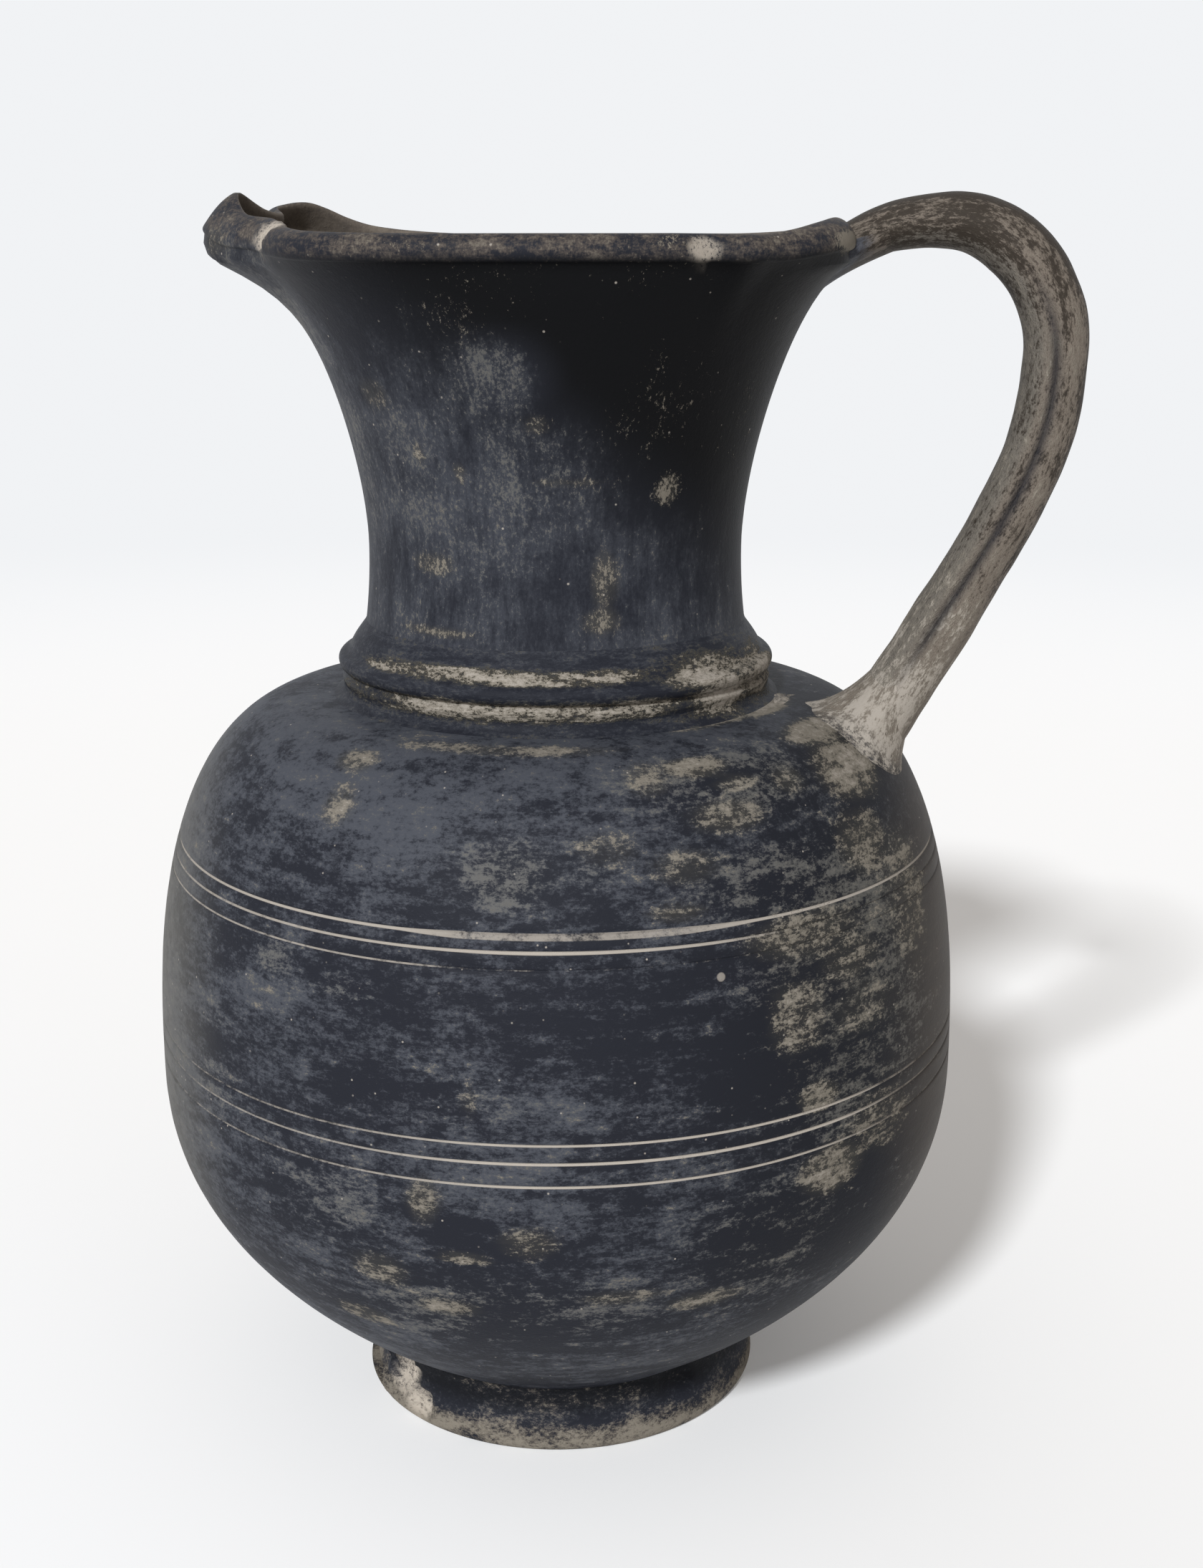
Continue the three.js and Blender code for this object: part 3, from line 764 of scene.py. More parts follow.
def neck_clay(colours):
    surface = ClaySurface("neck_burnish")
    clouds = surface.speckle(24, 5, 0.65)
    brush = surface.speckle(3, 6, 0.75, (0.8, 0.8, 4), 15)
    grain = surface.speckle(0.8, 3, 0.85, (1, 1, 1.4), 17)
    silted = surface.mark("silt")
    haze_and_sheen_marks = surface.mark("haze_and_sheen")
    lip = surface.mark("lip")
    inner = surface.mark("inner")
    # Painted shade: darker high on the neck under the lip and towards the right, away from the lamp; it also
    # takes away sheen, grey speckle and stain, less so in the hazed places
    painted_shade = (surface.z - 0.2 + (surface.x - AXIS.x) * 0.7).fade(0.012, 0.05) * (1 - haze_and_sheen_marks * 0.9)
    sheen = (clouds * 0.6 + brush * 0.4 + grain * 0.25 + haze_and_sheen_marks * 0.06 - painted_shade * 0.2).fade(0.5, 0.8)
    dust_and_sheen = (grain * 0.6 + brush * 0.35 + clouds * 0.35 + haze_and_sheen_marks * clouds * 0.2 - painted_shade * 0.1).fade(0.7, 0.8)
    stain = (silted * 0.8 + clouds * 0.7 + brush * 0.5 - painted_shade * 0.3).fade(0.75, 1.5)
    silt = (brush * 0.3 + grain * 0.6 + clouds * 0.4 + silted * 0.17).fade(0.77, 0.84)
    rubbed = surface.speckle(3, 5, 0.75, (2.5, 2.5, 1), 18) * 0.7 + grain * 0.45
    bare = lip * (rubbed + inner * 0.1).fade(0.49, 0.67)
    worn = lip * (rubbed + inner * 0.1).fade(0.61, 0.76)
    colour = burnished(surface, colours, sheen)
    # Painted shade under the lip and on the right side, not on the lip itself
    colour = surface.blend(painted_shade * (1 - lip), colour, opaque(colours.shade_black))
    colour = surface.blend(stain * 0.45, colour, opaque(colours.stain))
    colour = surface.blend(dust_and_sheen * (0.6 - painted_shade * 0.4), colour, opaque(colours.dust_and_sheen))
    colour = surface.blend(lip * (0.5 - inner * 0.5), colour, opaque(colours.burnish))
    colour = surface.blend(bare * 0.55, colour, opaque(colours.brown))
    colour = surface.blend(worn * 0.6, colour, opaque(colours.silt))
    # Inside the mouth: partly worn tan clay and partly painted light on the inner wall, which the lip keeps in
    # shade
    colour = surface.blend(inner * (0.2 + rubbed * 0.8), colour, opaque(colours.tan))
    colour = surface.blend(silt * 0.75, colour, opaque(colours.silt))
    colour = surface.blend(specks(surface, 4.0, 21) * 0.8, colour, opaque(colours.lime))
    mottled = surface.mark("chipped") * (rubbed * 0.9 + grain).fade(0.76, 1.04)
    colour = surface.blend(mottled, colour, opaque(colours.chip))
    gloss = 0.46 + clouds * 0.1 + silt * 0.25 + bare * 0.1
    relief = grain * 0.3 + brush * 0.25 + clouds + silt * 0.25
    return surface.finish(colour, gloss, relief, 0.3)


def collar_clay(colours):
    surface = ClaySurface("collar_deposit")
    patchy = surface.speckle(4, 6, 0.75, (3.5, 3.5, 0.6), 31)
    grain = surface.speckle(0.8, 3, 0.85, (1.8, 1.8, 1), 33)
    depth = patchy * 0.6 + grain * 0.5 + surface.mark("silt") * 0.15
    sheen = (patchy * 0.6 + grain * 0.4).fade(0.42, 0.7)
    silt = depth.fade(0.66, 0.73)
    colour = burnished(surface, colours, sheen)
    colour = surface.blend(depth.fade(0.58, 0.7) * 0.7, colour, opaque(colours.stain))
    colour = surface.blend(silt * 0.85, colour, opaque(colours.silt))
    colour = surface.blend(depth.fade(0.72, 0.86) * 0.75, colour, opaque(colours.lime))
    relief = patchy * 0.6 + grain * 0.4 + silt * 0.8
    return surface.finish(colour, 0.5 + silt * 0.35, relief, 0.4)


def foot_clay(colours):
    surface = ClaySurface("foot_burnish")
    patchy = surface.speckle(6, 6, 0.75, (1.8, 1.8, 1), 41)
    grain = surface.speckle(0.8, 3, 0.85, (1.5, 1.5, 1), 43)
    low = 1 - surface.z.fade(0.002, 0.0095)
    rubbed = (patchy * 0.6 + grain * 0.35 + low * 0.16).fade(0.5, 0.7)
    silt = (patchy * 0.6 + grain * 0.45 + low * 0.17).fade(0.58, 0.74)
    # Painted shade: darker towards the top of the foot, under the body
    painted_shade = surface.z.fade(0.006, 0.012)
    colour = burnished(surface, colours, (patchy * 0.6 + grain * 0.5).fade(0.5, 0.7))
    # Painted shade at the top of the foot
    colour = surface.blend(painted_shade * 0.8, colour, opaque(colours.shade_black))
    colour = surface.blend(rubbed * 0.8, colour, opaque(colours.brown))
    colour = surface.blend(silt * 0.9, colour, opaque(colours.silt))
    mottled = surface.mark("chipped") * (patchy * 0.9 + grain).fade(0.72, 1.05)
    colour = surface.blend(mottled, colour, opaque(colours.chip))
    relief = patchy + grain * 0.4 + silt * 0.3
    return surface.finish(colour, 0.5 + silt * 0.3, relief, 0.35)


def handle_clay(colours, name):
    surface = ClaySurface(name)
    surface.follow("coil")
    groove = surface.mark("groove")
    inside = surface.mark("inside")
    outside = surface.mark("outside")
    thin = surface.mark("thin")
    root = 1 - surface.z.fade(0.166, 0.215)
    patchy = surface.speckle(4, 6, 0.75, (0.9, 0.9, 3.5), 51)
    grain = surface.speckle(0.8, 3, 0.85, (1, 1, 2), 53)
    arch = surface.z.fade(0.25, 0.272)
    # Painted shade: the handle's outer side, away from the lamp, gets less deposit and so stays darker
    depth = patchy * 0.6 + grain * 0.5 + root * 0.13 - outside * 0.1 - arch * 0.09 - thin * 0.05
    worn = depth.fade(0.44, 0.58)
    merged = (thin + patchy * 1.2 + grain * 0.6).fade(1.25, 1.6)
    silt = depth.fade(0.54, 0.68)
    lime = (depth + root * 0.05).fade(0.65, 0.78)
    # Painted sheen: the handle's inner face, which faces the lamp, is turned grey
    tan_with_inner_sheen = surface.blend(inside * 0.6, opaque(colours.tan), opaque(colours.dust_and_sheen))
    colour = surface.blend(worn, opaque([part * 0.3 for part in colours.brown]), tan_with_inner_sheen)
    colour = surface.blend(merged * 0.9, colour, burnished(surface, colours, patchy.fade(0.4, 0.6)))
    colour = surface.blend(silt * 0.75, colour, opaque(colours.silt))
    colour = surface.blend(lime * 0.75, colour, opaque(colours.lime))
    # Painted shade: the grooves along the handle's sides are darkened to burnish
    colour = surface.blend(groove * 0.8, colour, opaque(colours.burnish))
    relief = grain * 0.4 + patchy + silt * 0.3
    return surface.finish(colour, 0.52 + silt * 0.25, relief, 0.4)


# Pieces

class JUG_OT_foot_ring(bpy.types.Operator):
    """Turn the ring foot, with its chipped edge"""
    bl_idname = "jug.foot_ring"
    bl_label = "Foot Ring"

    def execute(self, context):
        size = context.scene.jug_body
        inner = size.foot_waist - size.foot_width
        edge = size.foot_edge
        outside = rounded([
            (size.foot_radius - edge, 0), (size.foot_radius - edge * 0.25, edge * 0.3),
            (size.foot_radius - 0.0001, edge * 1.2), (mix(size.foot_radius, size.foot_waist, 0.4), 0.0065),
            (mix(size.foot_radius, size.foot_waist, 0.92), 0.0115), (size.foot_waist, size.foot_height)], 6)
        outline = [
            (inner, size.foot_height), (inner, edge), (inner + edge * 0.3, edge * 0.3),
            (inner + edge, 0), *[tuple(point) for point in outside], (inner, size.foot_height)]
        piece = thrown("foot_ring_clay", outline, 192)
        chips = [(at_turn(math.radians(-141), 0.0468, 0.0085), 0.0062, 0.0018),
                 (at_turn(math.radians(-133), 0.0476, 0.004), 0.0052, 0.0018),
                 (at_turn(math.radians(-168), 0.052, 0.006), 0.018, 0.0026),
                 (at_turn(math.radians(-52), 0.0462, 0.0115), 0.0055, 0.0014)]

        def worn(place):
            turn, radius = round_axis(place)
            if radius < inner + size.foot_width * 0.6 or place.z < 0.0003:
                return place.copy()
            depth = sum(dented(place, *chip) for chip in chips)
            return at_turn(turn, radius + hand_made(place, 0.0002) - depth, place.z)

        shaped(piece, worn)
        marked(piece, "chipped", lambda place: max(
            min(dented(place, centre, radius, 1), 1) for centre, radius, _ in chips[:2]))
        finished(piece, ["foot_ring"], foot_clay(context.scene.jug_colours))
        return {"FINISHED"}


class JUG_OT_body(bpy.types.Operator):
    """Turn the round body with its incised lines"""
    bl_idname = "jug.body"
    bl_label = "Body"

    def execute(self, context):
        size = context.scene.jug_body
        neck = context.scene.jug_neck
        opening = neck.base_radius - neck.wall
        floor = size.foot_height + size.wall
        outline = [
            (0, size.foot_height), *body_outline(size),
            (opening, size.shoulder_height), (opening, size.shoulder_height - size.wall),
            *reversed(inner_outline(size, opening)),
            (size.foot_waist - size.wall, floor), (0, floor)]
        piece = thrown("body_clay", outline, 288)

        def thrown_wall(place):
            turn, radius = round_axis(place)
            if radius < size.foot_waist + 0.001 or place.z > size.shoulder_height - 0.0005:
                return place.copy()
            return at_turn(turn, radius + hand_made(place, size.wobble), place.z)

        def on_line(place):
            turn, radius = round_axis(place)
            if radius > body_radius(size, place.z) - size.wall * 0.5:
                for line in INCISED:
                    across = abs(place.z - line.height) / (line.width / 2)
                    if across < 1.01:
                        return line, turn, 1 - across
            return None, turn, 0

        def fill(place):
            line, turn, inwards = on_line(place)
            return inwards - 1 + line.share_filled(turn) * 1.2 if line else -1

        def paleness(place):
            line, turn, _ = on_line(place)
            return line.pale(turn) if line else 0

        marked(piece, "incised", fill)
        marked(piece, "pale", paleness)
        patches(piece, "silt", BODY_SILT, lambda _, height: body_radius(size, height))
        patches(piece, "haze_and_sheen", BODY_HAZE, lambda _, height: body_radius(size, height))
        shaped(piece, thrown_wall)
        finished(piece, ["body"], body_clay(context.scene.jug_colours, size))
        return {"FINISHED"}


class JUG_OT_collar_ring(bpy.types.Operator):
    """Turn the ridged clay ring round the foot of the neck"""
    bl_idname = "jug.collar_ring"
    bl_label = "Collar Ring"

    def execute(self, context):
        neck = context.scene.jug_neck
        seat = context.scene.jug_body.shoulder_height
        ridge = seat + neck.ridge_height + 0.0008
        outer = neck.base_radius + 0.0003 + neck.collar_width
        top = seat + neck.collar_height + 0.005
        outside = rounded([
            (outer + 0.0016, seat - 0.0002), (outer - 0.0002, seat + 0.0008), (outer - 0.0009, seat + 0.0026),
            (outer - 0.0006, seat + 0.0044), (outer - 0.0015, ridge - 0.0023), (outer - 0.0005, ridge - 0.0016),
            (outer, ridge - 0.0005), (outer - 0.0001, ridge + 0.0006), (outer - 0.0009, ridge + 0.0015),
            (outer - 0.0023, ridge + 0.0021), (outer - 0.0029, ridge + 0.0033), (outer - 0.0042, ridge + 0.0055),
            (neck_radius(neck, context.scene.jug_body, top) - 0.0005, top)], 5)
        foot_of_neck = [
            (neck_radius(neck, context.scene.jug_body, height) - 0.0003, height)
            for height in (mix(top, seat, share) for share in spread(6)[1:])]
        outline = [*[tuple(point) for point in outside], *foot_of_neck, tuple(outside[0])]
        piece = thrown("collar_ring_clay", outline, 240)

        def modelled(place):
            turn, radius = round_axis(place)
            hidden = radius < neck_radius(neck, context.scene.jug_body, place.z) + 0.0002
            if hidden or place.z < seat + 0.0005:
                return place.copy()
            wander = 0.0004 * noise.noise(Vector((place.x * 30, place.y * 30, place.z * 90)))
            return at_turn(turn, radius - 0.0002 + min(wander, 0.0002), place.z)

        radii, heights = zip(*[tuple(point) for point in outside])
        patches(piece, "silt", COLLAR_SILT, lambda _, height: float(np.interp(height, heights, radii)))
        shaped(piece, modelled)
        finished(piece, ["collar_ring"], collar_clay(context.scene.jug_colours))
        return {"FINISHED"}


class JUG_OT_neck(bpy.types.Operator):
    """Throw the flared neck round, then pinch its mouth and raise its lip"""
    bl_idname = "jug.neck"
    bl_label = "Neck and Mouth"

    def execute(self, context):
        neck = context.scene.jug_neck
        body = context.scene.jug_body
        lip = LipLine(neck)
        base = lip_foot(neck)
        seat = body.shoulder_height
        round_reach = neck.top_radius + neck.lip_undercut
        levels = [mix(body.shoulder_height, base, share) for share in spread(44)]
        wall = [(neck_radius(neck, body, level), level) for level in levels]
        roll = rounded([
            (round_reach - neck.lip_undercut, base), (round_reach - 0.0002, base + neck.lip_height * 0.12),
            *[(round_reach + across * neck.lip_thickness, base + up * neck.lip_height) for across, up in [
                (0.04, 0.45), (-0.08, 0.8), (-0.34, 0.98), (-0.66, 0.98), (-0.92, 0.78), (-1, 0.4)]],
            (round_reach - neck.lip_undercut - neck.wall, base)], 4)
        inside = [(radius - neck.wall, level) for radius, level in reversed(wall[::2][:-1])]
        outline = [*wall[:-1], *[tuple(point) for point in roll], *inside, wall[0]]
        piece = thrown("neck_clay", outline, 360)
        def on_lip(degrees, height):
            turn = math.radians(degrees)
            return at_turn(turn, lip.reach(turn) - lean_in(neck, height, lip.rise(turn)), height)

        chips = [(on_lip(-155, 0.2712), 0.0062, 0.001), (on_lip(-60.5, 0.267), 0.0036, 0.0006)]
        paleness = (1, 0.6)

        def pinched(place):
            turn, radius = round_axis(place)
            reach = lip.reach(turn)
            rise = lip.rise(turn)
            lifted = base + neck.lip_lift * rise
            spout = eased(rise, 0.3 * neck.spout_rise, 0.9 * neck.spout_rise)
            if place.z <= base + 0.00001:
                height = mix(seat, lifted, (place.z - seat) / (base - seat))
                inset = radius - neck_radius(neck, body, place.z)
                radius = pinched_radius(neck, body, height, reach) + inset
            else:
                up = (place.z - base) / neck.lip_height
                height = min(mix(lifted, neck.rim_height + rise, up), CAD_BOX[1].z)
                thinned = neck.lip_thinning * max(rise, 0) / neck.spout_rise * eased(up, 0, 0.25)
                radius = reach + (radius - round_reach) * (1 - thinned)
            radius -= lean_in(neck, height, rise)
            radius += spout * (
                0.001 * bell(height - lifted + 0.0005, 0.0025) - 0.0009 * bell(height - base, 0.0022))
            strayed = hand_made(place, 0.00022) if place.z > seat + 0.001 else 0
            moved = at_turn(turn, radius + strayed, height)
            depth = sum(dented(moved, *chip) for chip in chips)
            return moved - Vector((math.cos(turn), math.sin(turn), 0)) * depth

        def within(place):
            _, radius = round_axis(place)
            return eased(neck_radius(neck, body, place.z) - radius, neck.wall * 0.4, neck.wall * 0.9)

        def inner_share(place):
            return within(place) * eased(place.z, base - 0.014, base)

        marked(piece, "inner", inner_share)
        marked(piece, "lip", lambda place: max(
            inner_share(place), eased(place.z, base, base + neck.lip_height * 0.5)))
        shaped(piece, pinched)
        marked(piece, "chipped", lambda place: max(
            min(dented(place, centre, radius, pale), 1) for (centre, radius, _), pale in zip(chips, paleness)))
        def outside(turn, height):
            return pinched_radius(neck, body, height, lip.reach(turn))

        patches(piece, "silt", NECK_SILT, outside)
        patches(piece, "haze_and_sheen", NECK_HAZE, outside)
        finished(piece, ["neck"], neck_clay(context.scene.jug_colours), 60)
        return {"FINISHED"}


class HandleLine:
    """The handle's middle line in its own upright plane, by the distance along it."""

    def __init__(self, handle, body, neck):
        top = neck.rim_height + handle.rise
        bend = top - handle.drop
        root = shoulder_level(body, handle.root_reach)
        fall = bend - root
        lean = Vector((handle.reach - handle.root_reach, fall)).normalized() + Vector((0.12, 0))
        lean.normalize()
        start = Vector((handle.lip_reach - neck.wall, neck.rim_height - neck.lip_height * 0.95))
        pull = Vector((mix(handle.lip_reach, handle.top_reach, 0.25), top))
        crest = Vector((handle.top_reach, top))
        line = [
            start * (1 - t) ** 2 + pull * 2 * t * (1 - t) + crest * t * t for t in spread(60)]
        line += [
            Vector((
                handle.top_reach + (handle.reach - handle.top_reach) * math.sin(t * math.pi / 2),
                bend + handle.drop * math.cos(t * math.pi / 2))) for t in spread(60)[1:]]
        a = Vector((handle.reach, bend))
        b = Vector((handle.reach, bend - fall * 0.27))
        c = Vector((handle.root_reach, root)) + lean * fall * 0.6
        d = Vector((handle.root_reach, root)) - lean * handle.sink
        line += [
            a * (1 - t) ** 3 + b * 3 * t * (1 - t) ** 2 + c * 3 * t * t * (1 - t) + d * t ** 3
            for t in spread(120)[1:]]
        self.points = line
        steps = [0] + [(q - p).length for p, q in zip(line, line[1:])]
        self.along = np.cumsum(steps)
        self.length = float(self.along[-1])
        self.handle = handle

    def at(self, distance):
        x = float(np.interp(distance, self.along, [point.x for point in self.points]))
        z = float(np.interp(distance, self.along, [point.y for point in self.points]))
        return Vector((x, 0, z))

    def frame_at(self, distance):
        step = 0.0005
        ahead = self.at(min(distance + step, self.length)) - self.at(max(distance - step, 0))
        along = ahead.normalized()
        return self.at(distance), Vector((-along.z, 0, along.x))

    def half_thickness(self, distance):
        share = distance / self.length
        swell = 0.08 * eased(share, 0.7, 0.95)
        return self.handle.thickness / 2 * (mix(0.62, 1.07, min(share * 4, 1)) + swell)

    def skin(self, distance, turn, extra=0.0):
        """A point on the handle's skin, at an angle round its section."""
        middle, outer = self.frame_at(distance)
        across = math.cos(turn) * (self.handle.width / 2 + extra)
        through = math.sin(turn) * (self.half_thickness(distance) + extra)
        return middle + Vector((0, across, 0)) + outer * through

    def placed(self, point):
        return AXIS + Matrix.Rotation(-self.handle.turn, 3, "Z") @ point


class JUG_OT_handle(bpy.types.Operator):
    """Roll the handle, groove its sides and bend it from the lip to the shoulder"""
    bl_idname = "jug.handle"
    bl_label = "Handle"

    def execute(self, context):
        handle = context.scene.jug_handle
        line = HandleLine(handle, context.scene.jug_body, context.scene.jug_neck)
        piece = rolled("handle_clay", 64, 200)

        def groove_at(place):
            share = place.z
            deep = eased(share, 0.26, 0.42) * (1 - eased(share, 0.78, 0.93))
            side = abs(place.y + 0.12 * math.sin(share * 9)) / 0.17
            return deep * math.exp(-side * side)

        # Numbers for the colour: painted shade in the grooves and on the outer side, painted sheen on the inner
        # side, which faces the lamp
        grooves = [groove_at(vertex.co) for vertex in piece.data.vertices]
        inside = [eased(-vertex.co.y, 0.1, 0.5) for vertex in piece.data.vertices]
        outside = [eased(vertex.co.y, 0.75, 1) for vertex in piece.data.vertices]
        kept_places(piece, (handle.width / 2, handle.thickness / 2, line.length))

        def bent(place):
            distance = place.z * line.length
            turn = math.atan2(place.y, place.x)
            if math.hypot(place.x, place.y) < 0.01:
                return line.placed(line.at(distance))
            extra = -handle.groove_depth * groove_at(place)
            point = line.skin(distance, turn, extra)
            point += (point - line.at(distance)).normalized() * (
                0.0004 * (noise.noise(point * 60) + 0.4 * noise.noise(point * 170)) - 0.0001)
            return line.placed(point)

        shaped(piece, bent)
        outwards(piece)
        for name, values in (("groove", grooves), ("inside", inside), ("outside", outside)):
            layer = piece.data.attributes.new(name, "FLOAT", "POINT")
            layer.data.foreach_set("value", values)
        clay = handle_clay(context.scene.jug_colours, "handle_clay")
        finished(piece, ["handle"], clay)
        return {"FINISHED"}


class JUG_OT_handle_pads(bpy.types.Operator):
    """Smooth the clay that joins the handle to the shoulder and to the lip"""
    bl_idname = "jug.handle_pads"
    bl_label = "Handle Pads"

    def execute(self, context):
        handle = context.scene.jug_handle
        body = context.scene.jug_body
        neck = context.scene.jug_neck
        line = HandleLine(handle, body, neck)
        self.root_pad(context, line, handle, body)
        self.lip_pad(context, line, handle, body, neck)
        return {"FINISHED"}

    def smeared(self, name, handle, line, seat, edge, corner):
        """Clay drawn from the handle's skin to an edge, in a hollow curve past a corner."""
        piece = rolled(name, 96, 16)
        marked(piece, "thin", lambda place: place.z)
        kept_places(piece, (handle.width / 2, handle.thickness / 2, 0.02))

        def drawn(place):
            turn = math.atan2(place.y, place.x)
            t = place.z
            point = seat(turn) * (1 - t) ** 2 + corner(turn) * 2 * t * (1 - t) + edge(turn) * t * t
            return line.placed(point)

        shaped(piece, drawn)
        outwards(piece)
        return piece

    def root_pad(self, context, line, handle, body):
        foot = line.length - handle.sink

        def on_shoulder(point, sunk):
            """A place on the shoulder, or up against the collar."""
            radius = math.hypot(point.x, point.y)
            raised = 0.005 * (1 - eased(radius, 0.0485, 0.0525))
            return Vector((point.x, point.y, shoulder_level(body, radius) - sunk + raised))

        def inner(turn):
            """1 on the side that faces the neck, 0 on the far side."""
            return 0.5 - 0.5 * math.sin(turn)

        def width(turn):
            uneven = 1 + 0.2 * noise.noise(Vector((math.cos(turn), math.sin(turn), 2)))
            return uneven * mix(0.001, handle.root_spread, min(inner(turn) * 2, 1)) + 0.01 * inner(turn) ** 8

        def climb(turn):
            return mix(0.004, handle.root_climb, min(inner(turn) * 2, 1))

        piece = self.smeared(
            "handle_root_pad_clay", handle, line,
            lambda turn: line.skin(foot - climb(turn), turn, -0.0005),
            lambda turn: on_shoulder(line.skin(foot, turn, width(turn)), 0.0005),
            lambda turn: on_shoulder(
                line.skin(foot, turn, width(turn) * 0.3), 0.0002 + 0.003 * inner(turn) ** 10))
        clay = handle_clay(context.scene.jug_colours, "root_pad_clay")
        finished(piece, ["handle_root_pad"], clay)

    def lip_pad(self, context, line, handle, body, neck):
        lip = LipLine(neck)
        start = 0.0035

        def held(turn):
            """1 under the handle and at its near side, 0 over it."""
            return eased(-math.sin(turn) - 0.3 * math.cos(turn), -0.4, 0.6)

        def on_neck(point, sunk):
            away = Vector((point.x, point.y, 0))
            turn = math.atan2(point.y, point.x) - handle.turn
            radius = pinched_radius(neck, body, point.z, lip.reach(turn))
            return away.normalized() * (radius - sunk) + Vector((0, 0, point.z))

        def against_neck(turn, width, sunk):
            skin = line.skin(start, turn, -0.0012 + (width + 0.0012) * held(turn))
            return skin.lerp(on_neck(skin, sunk), min(held(turn) * 2, 1))

        piece = self.smeared(
            "handle_lip_pad_clay", handle, line,
            lambda turn: line.skin(start + handle.lip_climb, turn, -0.0006),
            lambda turn: against_neck(turn, handle.lip_spread, 0.0006),
            lambda turn: against_neck(turn, 0.001, -0.0006))
        clay = handle_clay(context.scene.jug_colours, "lip_pad_clay")
        finished(piece, ["handle_lip_pad"], clay)


RAYS_SEEN = ("Is Camera Ray", "Is Glossy Ray", "Is Transmission Ray")


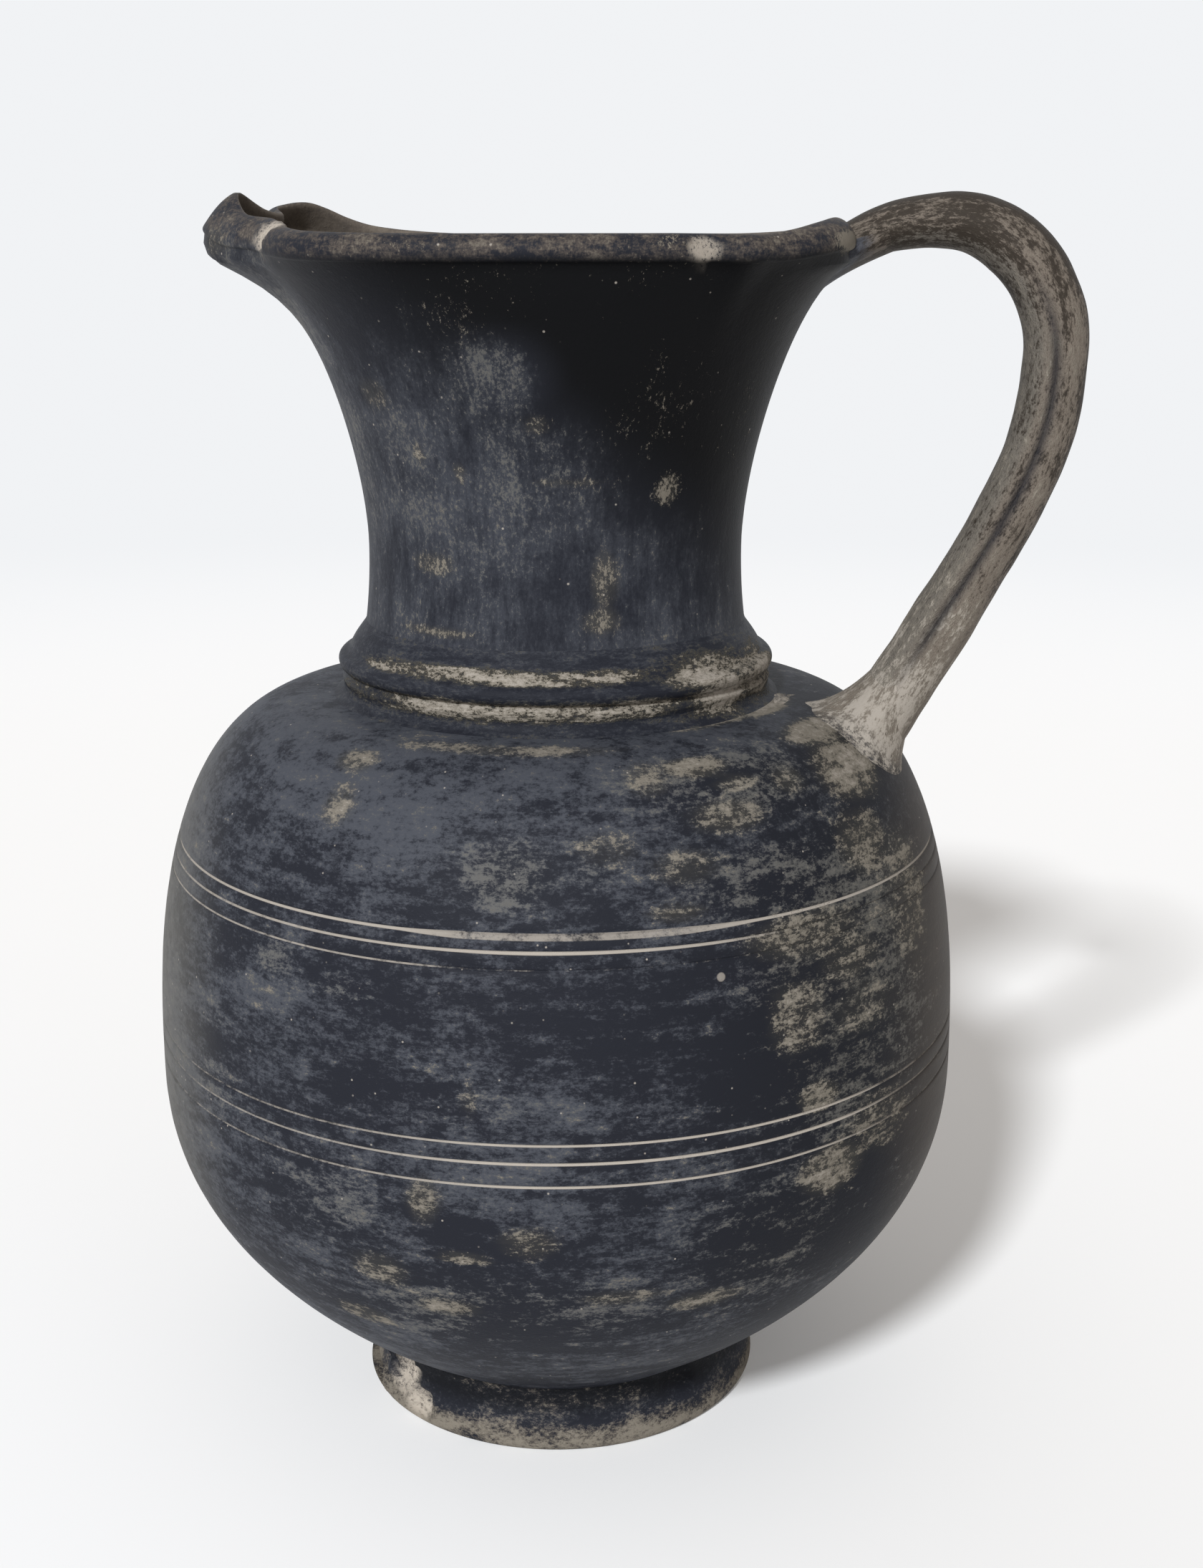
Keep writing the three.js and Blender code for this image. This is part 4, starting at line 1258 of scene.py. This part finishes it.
class JUG_OT_studio(bpy.types.Operator):
    """Lay the pale table and set the lights and the camera"""
    bl_idname = "jug.studio"
    bl_label = "Studio"

    def execute(self, context):
        look = context.scene.jug_studio
        self.table(look)
        self.light_up(context, look)
        self.set_camera(context, look)
        context.scene.view_settings.view_transform = "Standard"
        return {"FINISHED"}

    def seen(self, nodes):
        """1 for a ray from the camera, or one that clay reflects or glass lets through."""
        rays = nodes.node("ShaderNodeLightPath", {}, {}).outputs
        first, *others = (Amount(nodes, rays[name]) for name in RAYS_SEEN)
        for other in others:
            first = first.or_more(other)
        return first

    def table(self, look):
        """A pale table, which fades into the backdrop's colour far from the jug."""
        table = start_from("table", bpy.ops.mesh.primitive_circle_add, vertices=96, radius=4, fill_type="NGON")
        material = bpy.data.materials.new("table_white")
        nodes = Nodes(material)
        shader = nodes.tree.nodes["Principled BSDF"]
        shader.inputs["Base Color"].default_value = opaque(look.floor)
        shader.inputs["Roughness"].default_value = 0.9
        shader.inputs["Specular IOR Level"].default_value = 0.1
        place = nodes.node("ShaderNodeTexCoord", {}, {}).outputs["Object"]
        apart = nodes.node("ShaderNodeVectorMath", {"operation": "DISTANCE"}, {0: place, 1: AXIS})
        axes = nodes.node("ShaderNodeSeparateXYZ", {}, {"Vector": place}).outputs
        faded = Amount(nodes, apart.outputs["Value"]).fade(0.55, 1.5)
        # Painted light: the table glows more in front of the jug and to its left, the side the lamp lights, than
        # behind it to the right, where the jug's shadow falls
        lit_side = (Amount(nodes, axes[0]) * -0.75 + Amount(nodes, axes[1]) * -0.65).fade(-0.02, 0.22)
        near = look.glow + lit_side * look.front_glow
        share = (near + faded * (1 - near)) * self.seen(nodes)
        paleness = nodes.node("ShaderNodeMix", {"data_type": "RGBA"}, {
            0: faded, 6: opaque(look.paper), 7: opaque(look.backdrop)}).outputs[2]
        glow = nodes.node("ShaderNodeEmission", {}, {"Color": paleness})
        choice = nodes.node("ShaderNodeMixShader", {}, {
            "Fac": share, 1: shader.outputs[0], 2: glow.outputs[0]})
        nodes.feed(nodes.tree.nodes["Material Output"].inputs["Surface"], choice.outputs[0])
        table.data.materials.append(material)

    def light_up(self, context, look):
        world = bpy.data.worlds.new("studio")
        context.scene.world = world
        nodes = Nodes(world)
        behind = nodes.node("ShaderNodeBackground", {}, {"Color": opaque(look.backdrop)})
        lit = nodes.tree.nodes["Background"]
        lit.inputs["Color"].default_value = opaque(look.ambient_colour)
        lit.inputs["Strength"].default_value = look.ambient
        choice = nodes.node("ShaderNodeMixShader", {}, {
            "Fac": self.seen(nodes), 1: lit.outputs[0], 2: behind.outputs[0]})
        nodes.feed(nodes.tree.nodes["World Output"].inputs["Surface"], choice.outputs[0])
        self.lamp("window_light", look)

    def lamp(self, name, look):
        bpy.ops.object.light_add(type="SUN", location=AXIS + Vector((-0.425, -1.17, 1.0)))
        lamp = bpy.context.object
        lamp.name = name
        lamp.data.energy = look.lamp_strength
        lamp.data.color = look.lamp_colour
        lamp.data.angle = look.lamp_width
        towards = AXIS + Vector((0, 0, 0.1)) - lamp.location
        lamp.rotation_euler = towards.to_track_quat("-Z", "Y").to_euler()

    def set_camera(self, context, look):
        away = Vector((math.sin(look.azimuth), -math.cos(look.azimuth), 0))
        place = AXIS + away * look.distance + Vector((0, 0, look.height))
        bpy.ops.object.camera_add(location=place)
        camera = bpy.context.object
        camera.data.sensor_width = 36
        camera.data.lens = look.focal
        camera.rotation_euler = (math.pi / 2 - look.pitch, 0, look.azimuth - look.aside)
        context.scene.camera = camera


class JUG_PT_pieces(bpy.types.Panel):
    """The jug's pieces in the sidebar"""
    bl_label = "Clay Jug"
    bl_idname = "JUG_PT_pieces"
    bl_space_type = "VIEW_3D"
    bl_region_type = "UI"
    bl_category = "Jug"

    def draw(self, context):
        for operator in OPERATORS:
            self.layout.operator(operator.bl_idname)


GROUPS = {
    "jug_body": BodySizes,
    "jug_neck": NeckSizes,
    "jug_handle": HandleSizes,
    "jug_colours": ClayColours,
    "jug_studio": StudioLook,
}
OPERATORS = (
    JUG_OT_foot_ring, JUG_OT_body, JUG_OT_collar_ring, JUG_OT_neck,
    JUG_OT_handle, JUG_OT_handle_pads, JUG_OT_studio)


def register():
    for kind in (*GROUPS.values(), *OPERATORS, JUG_PT_pieces):
        bpy.utils.register_class(kind)
    for name, kind in GROUPS.items():
        setattr(bpy.types.Scene, name, bpy.props.PointerProperty(type=kind))


def unregister():
    for name in GROUPS:
        delattr(bpy.types.Scene, name)
    for kind in reversed((*GROUPS.values(), *OPERATORS, JUG_PT_pieces)):
        bpy.utils.unregister_class(kind)


def main():
    register()
    bpy.ops.jug.foot_ring()
    bpy.ops.jug.body()
    bpy.ops.jug.collar_ring()
    bpy.ops.jug.neck()
    bpy.ops.jug.handle()
    bpy.ops.jug.handle_pads()
    bpy.ops.jug.studio()


if __name__ == "__main__":
    main()
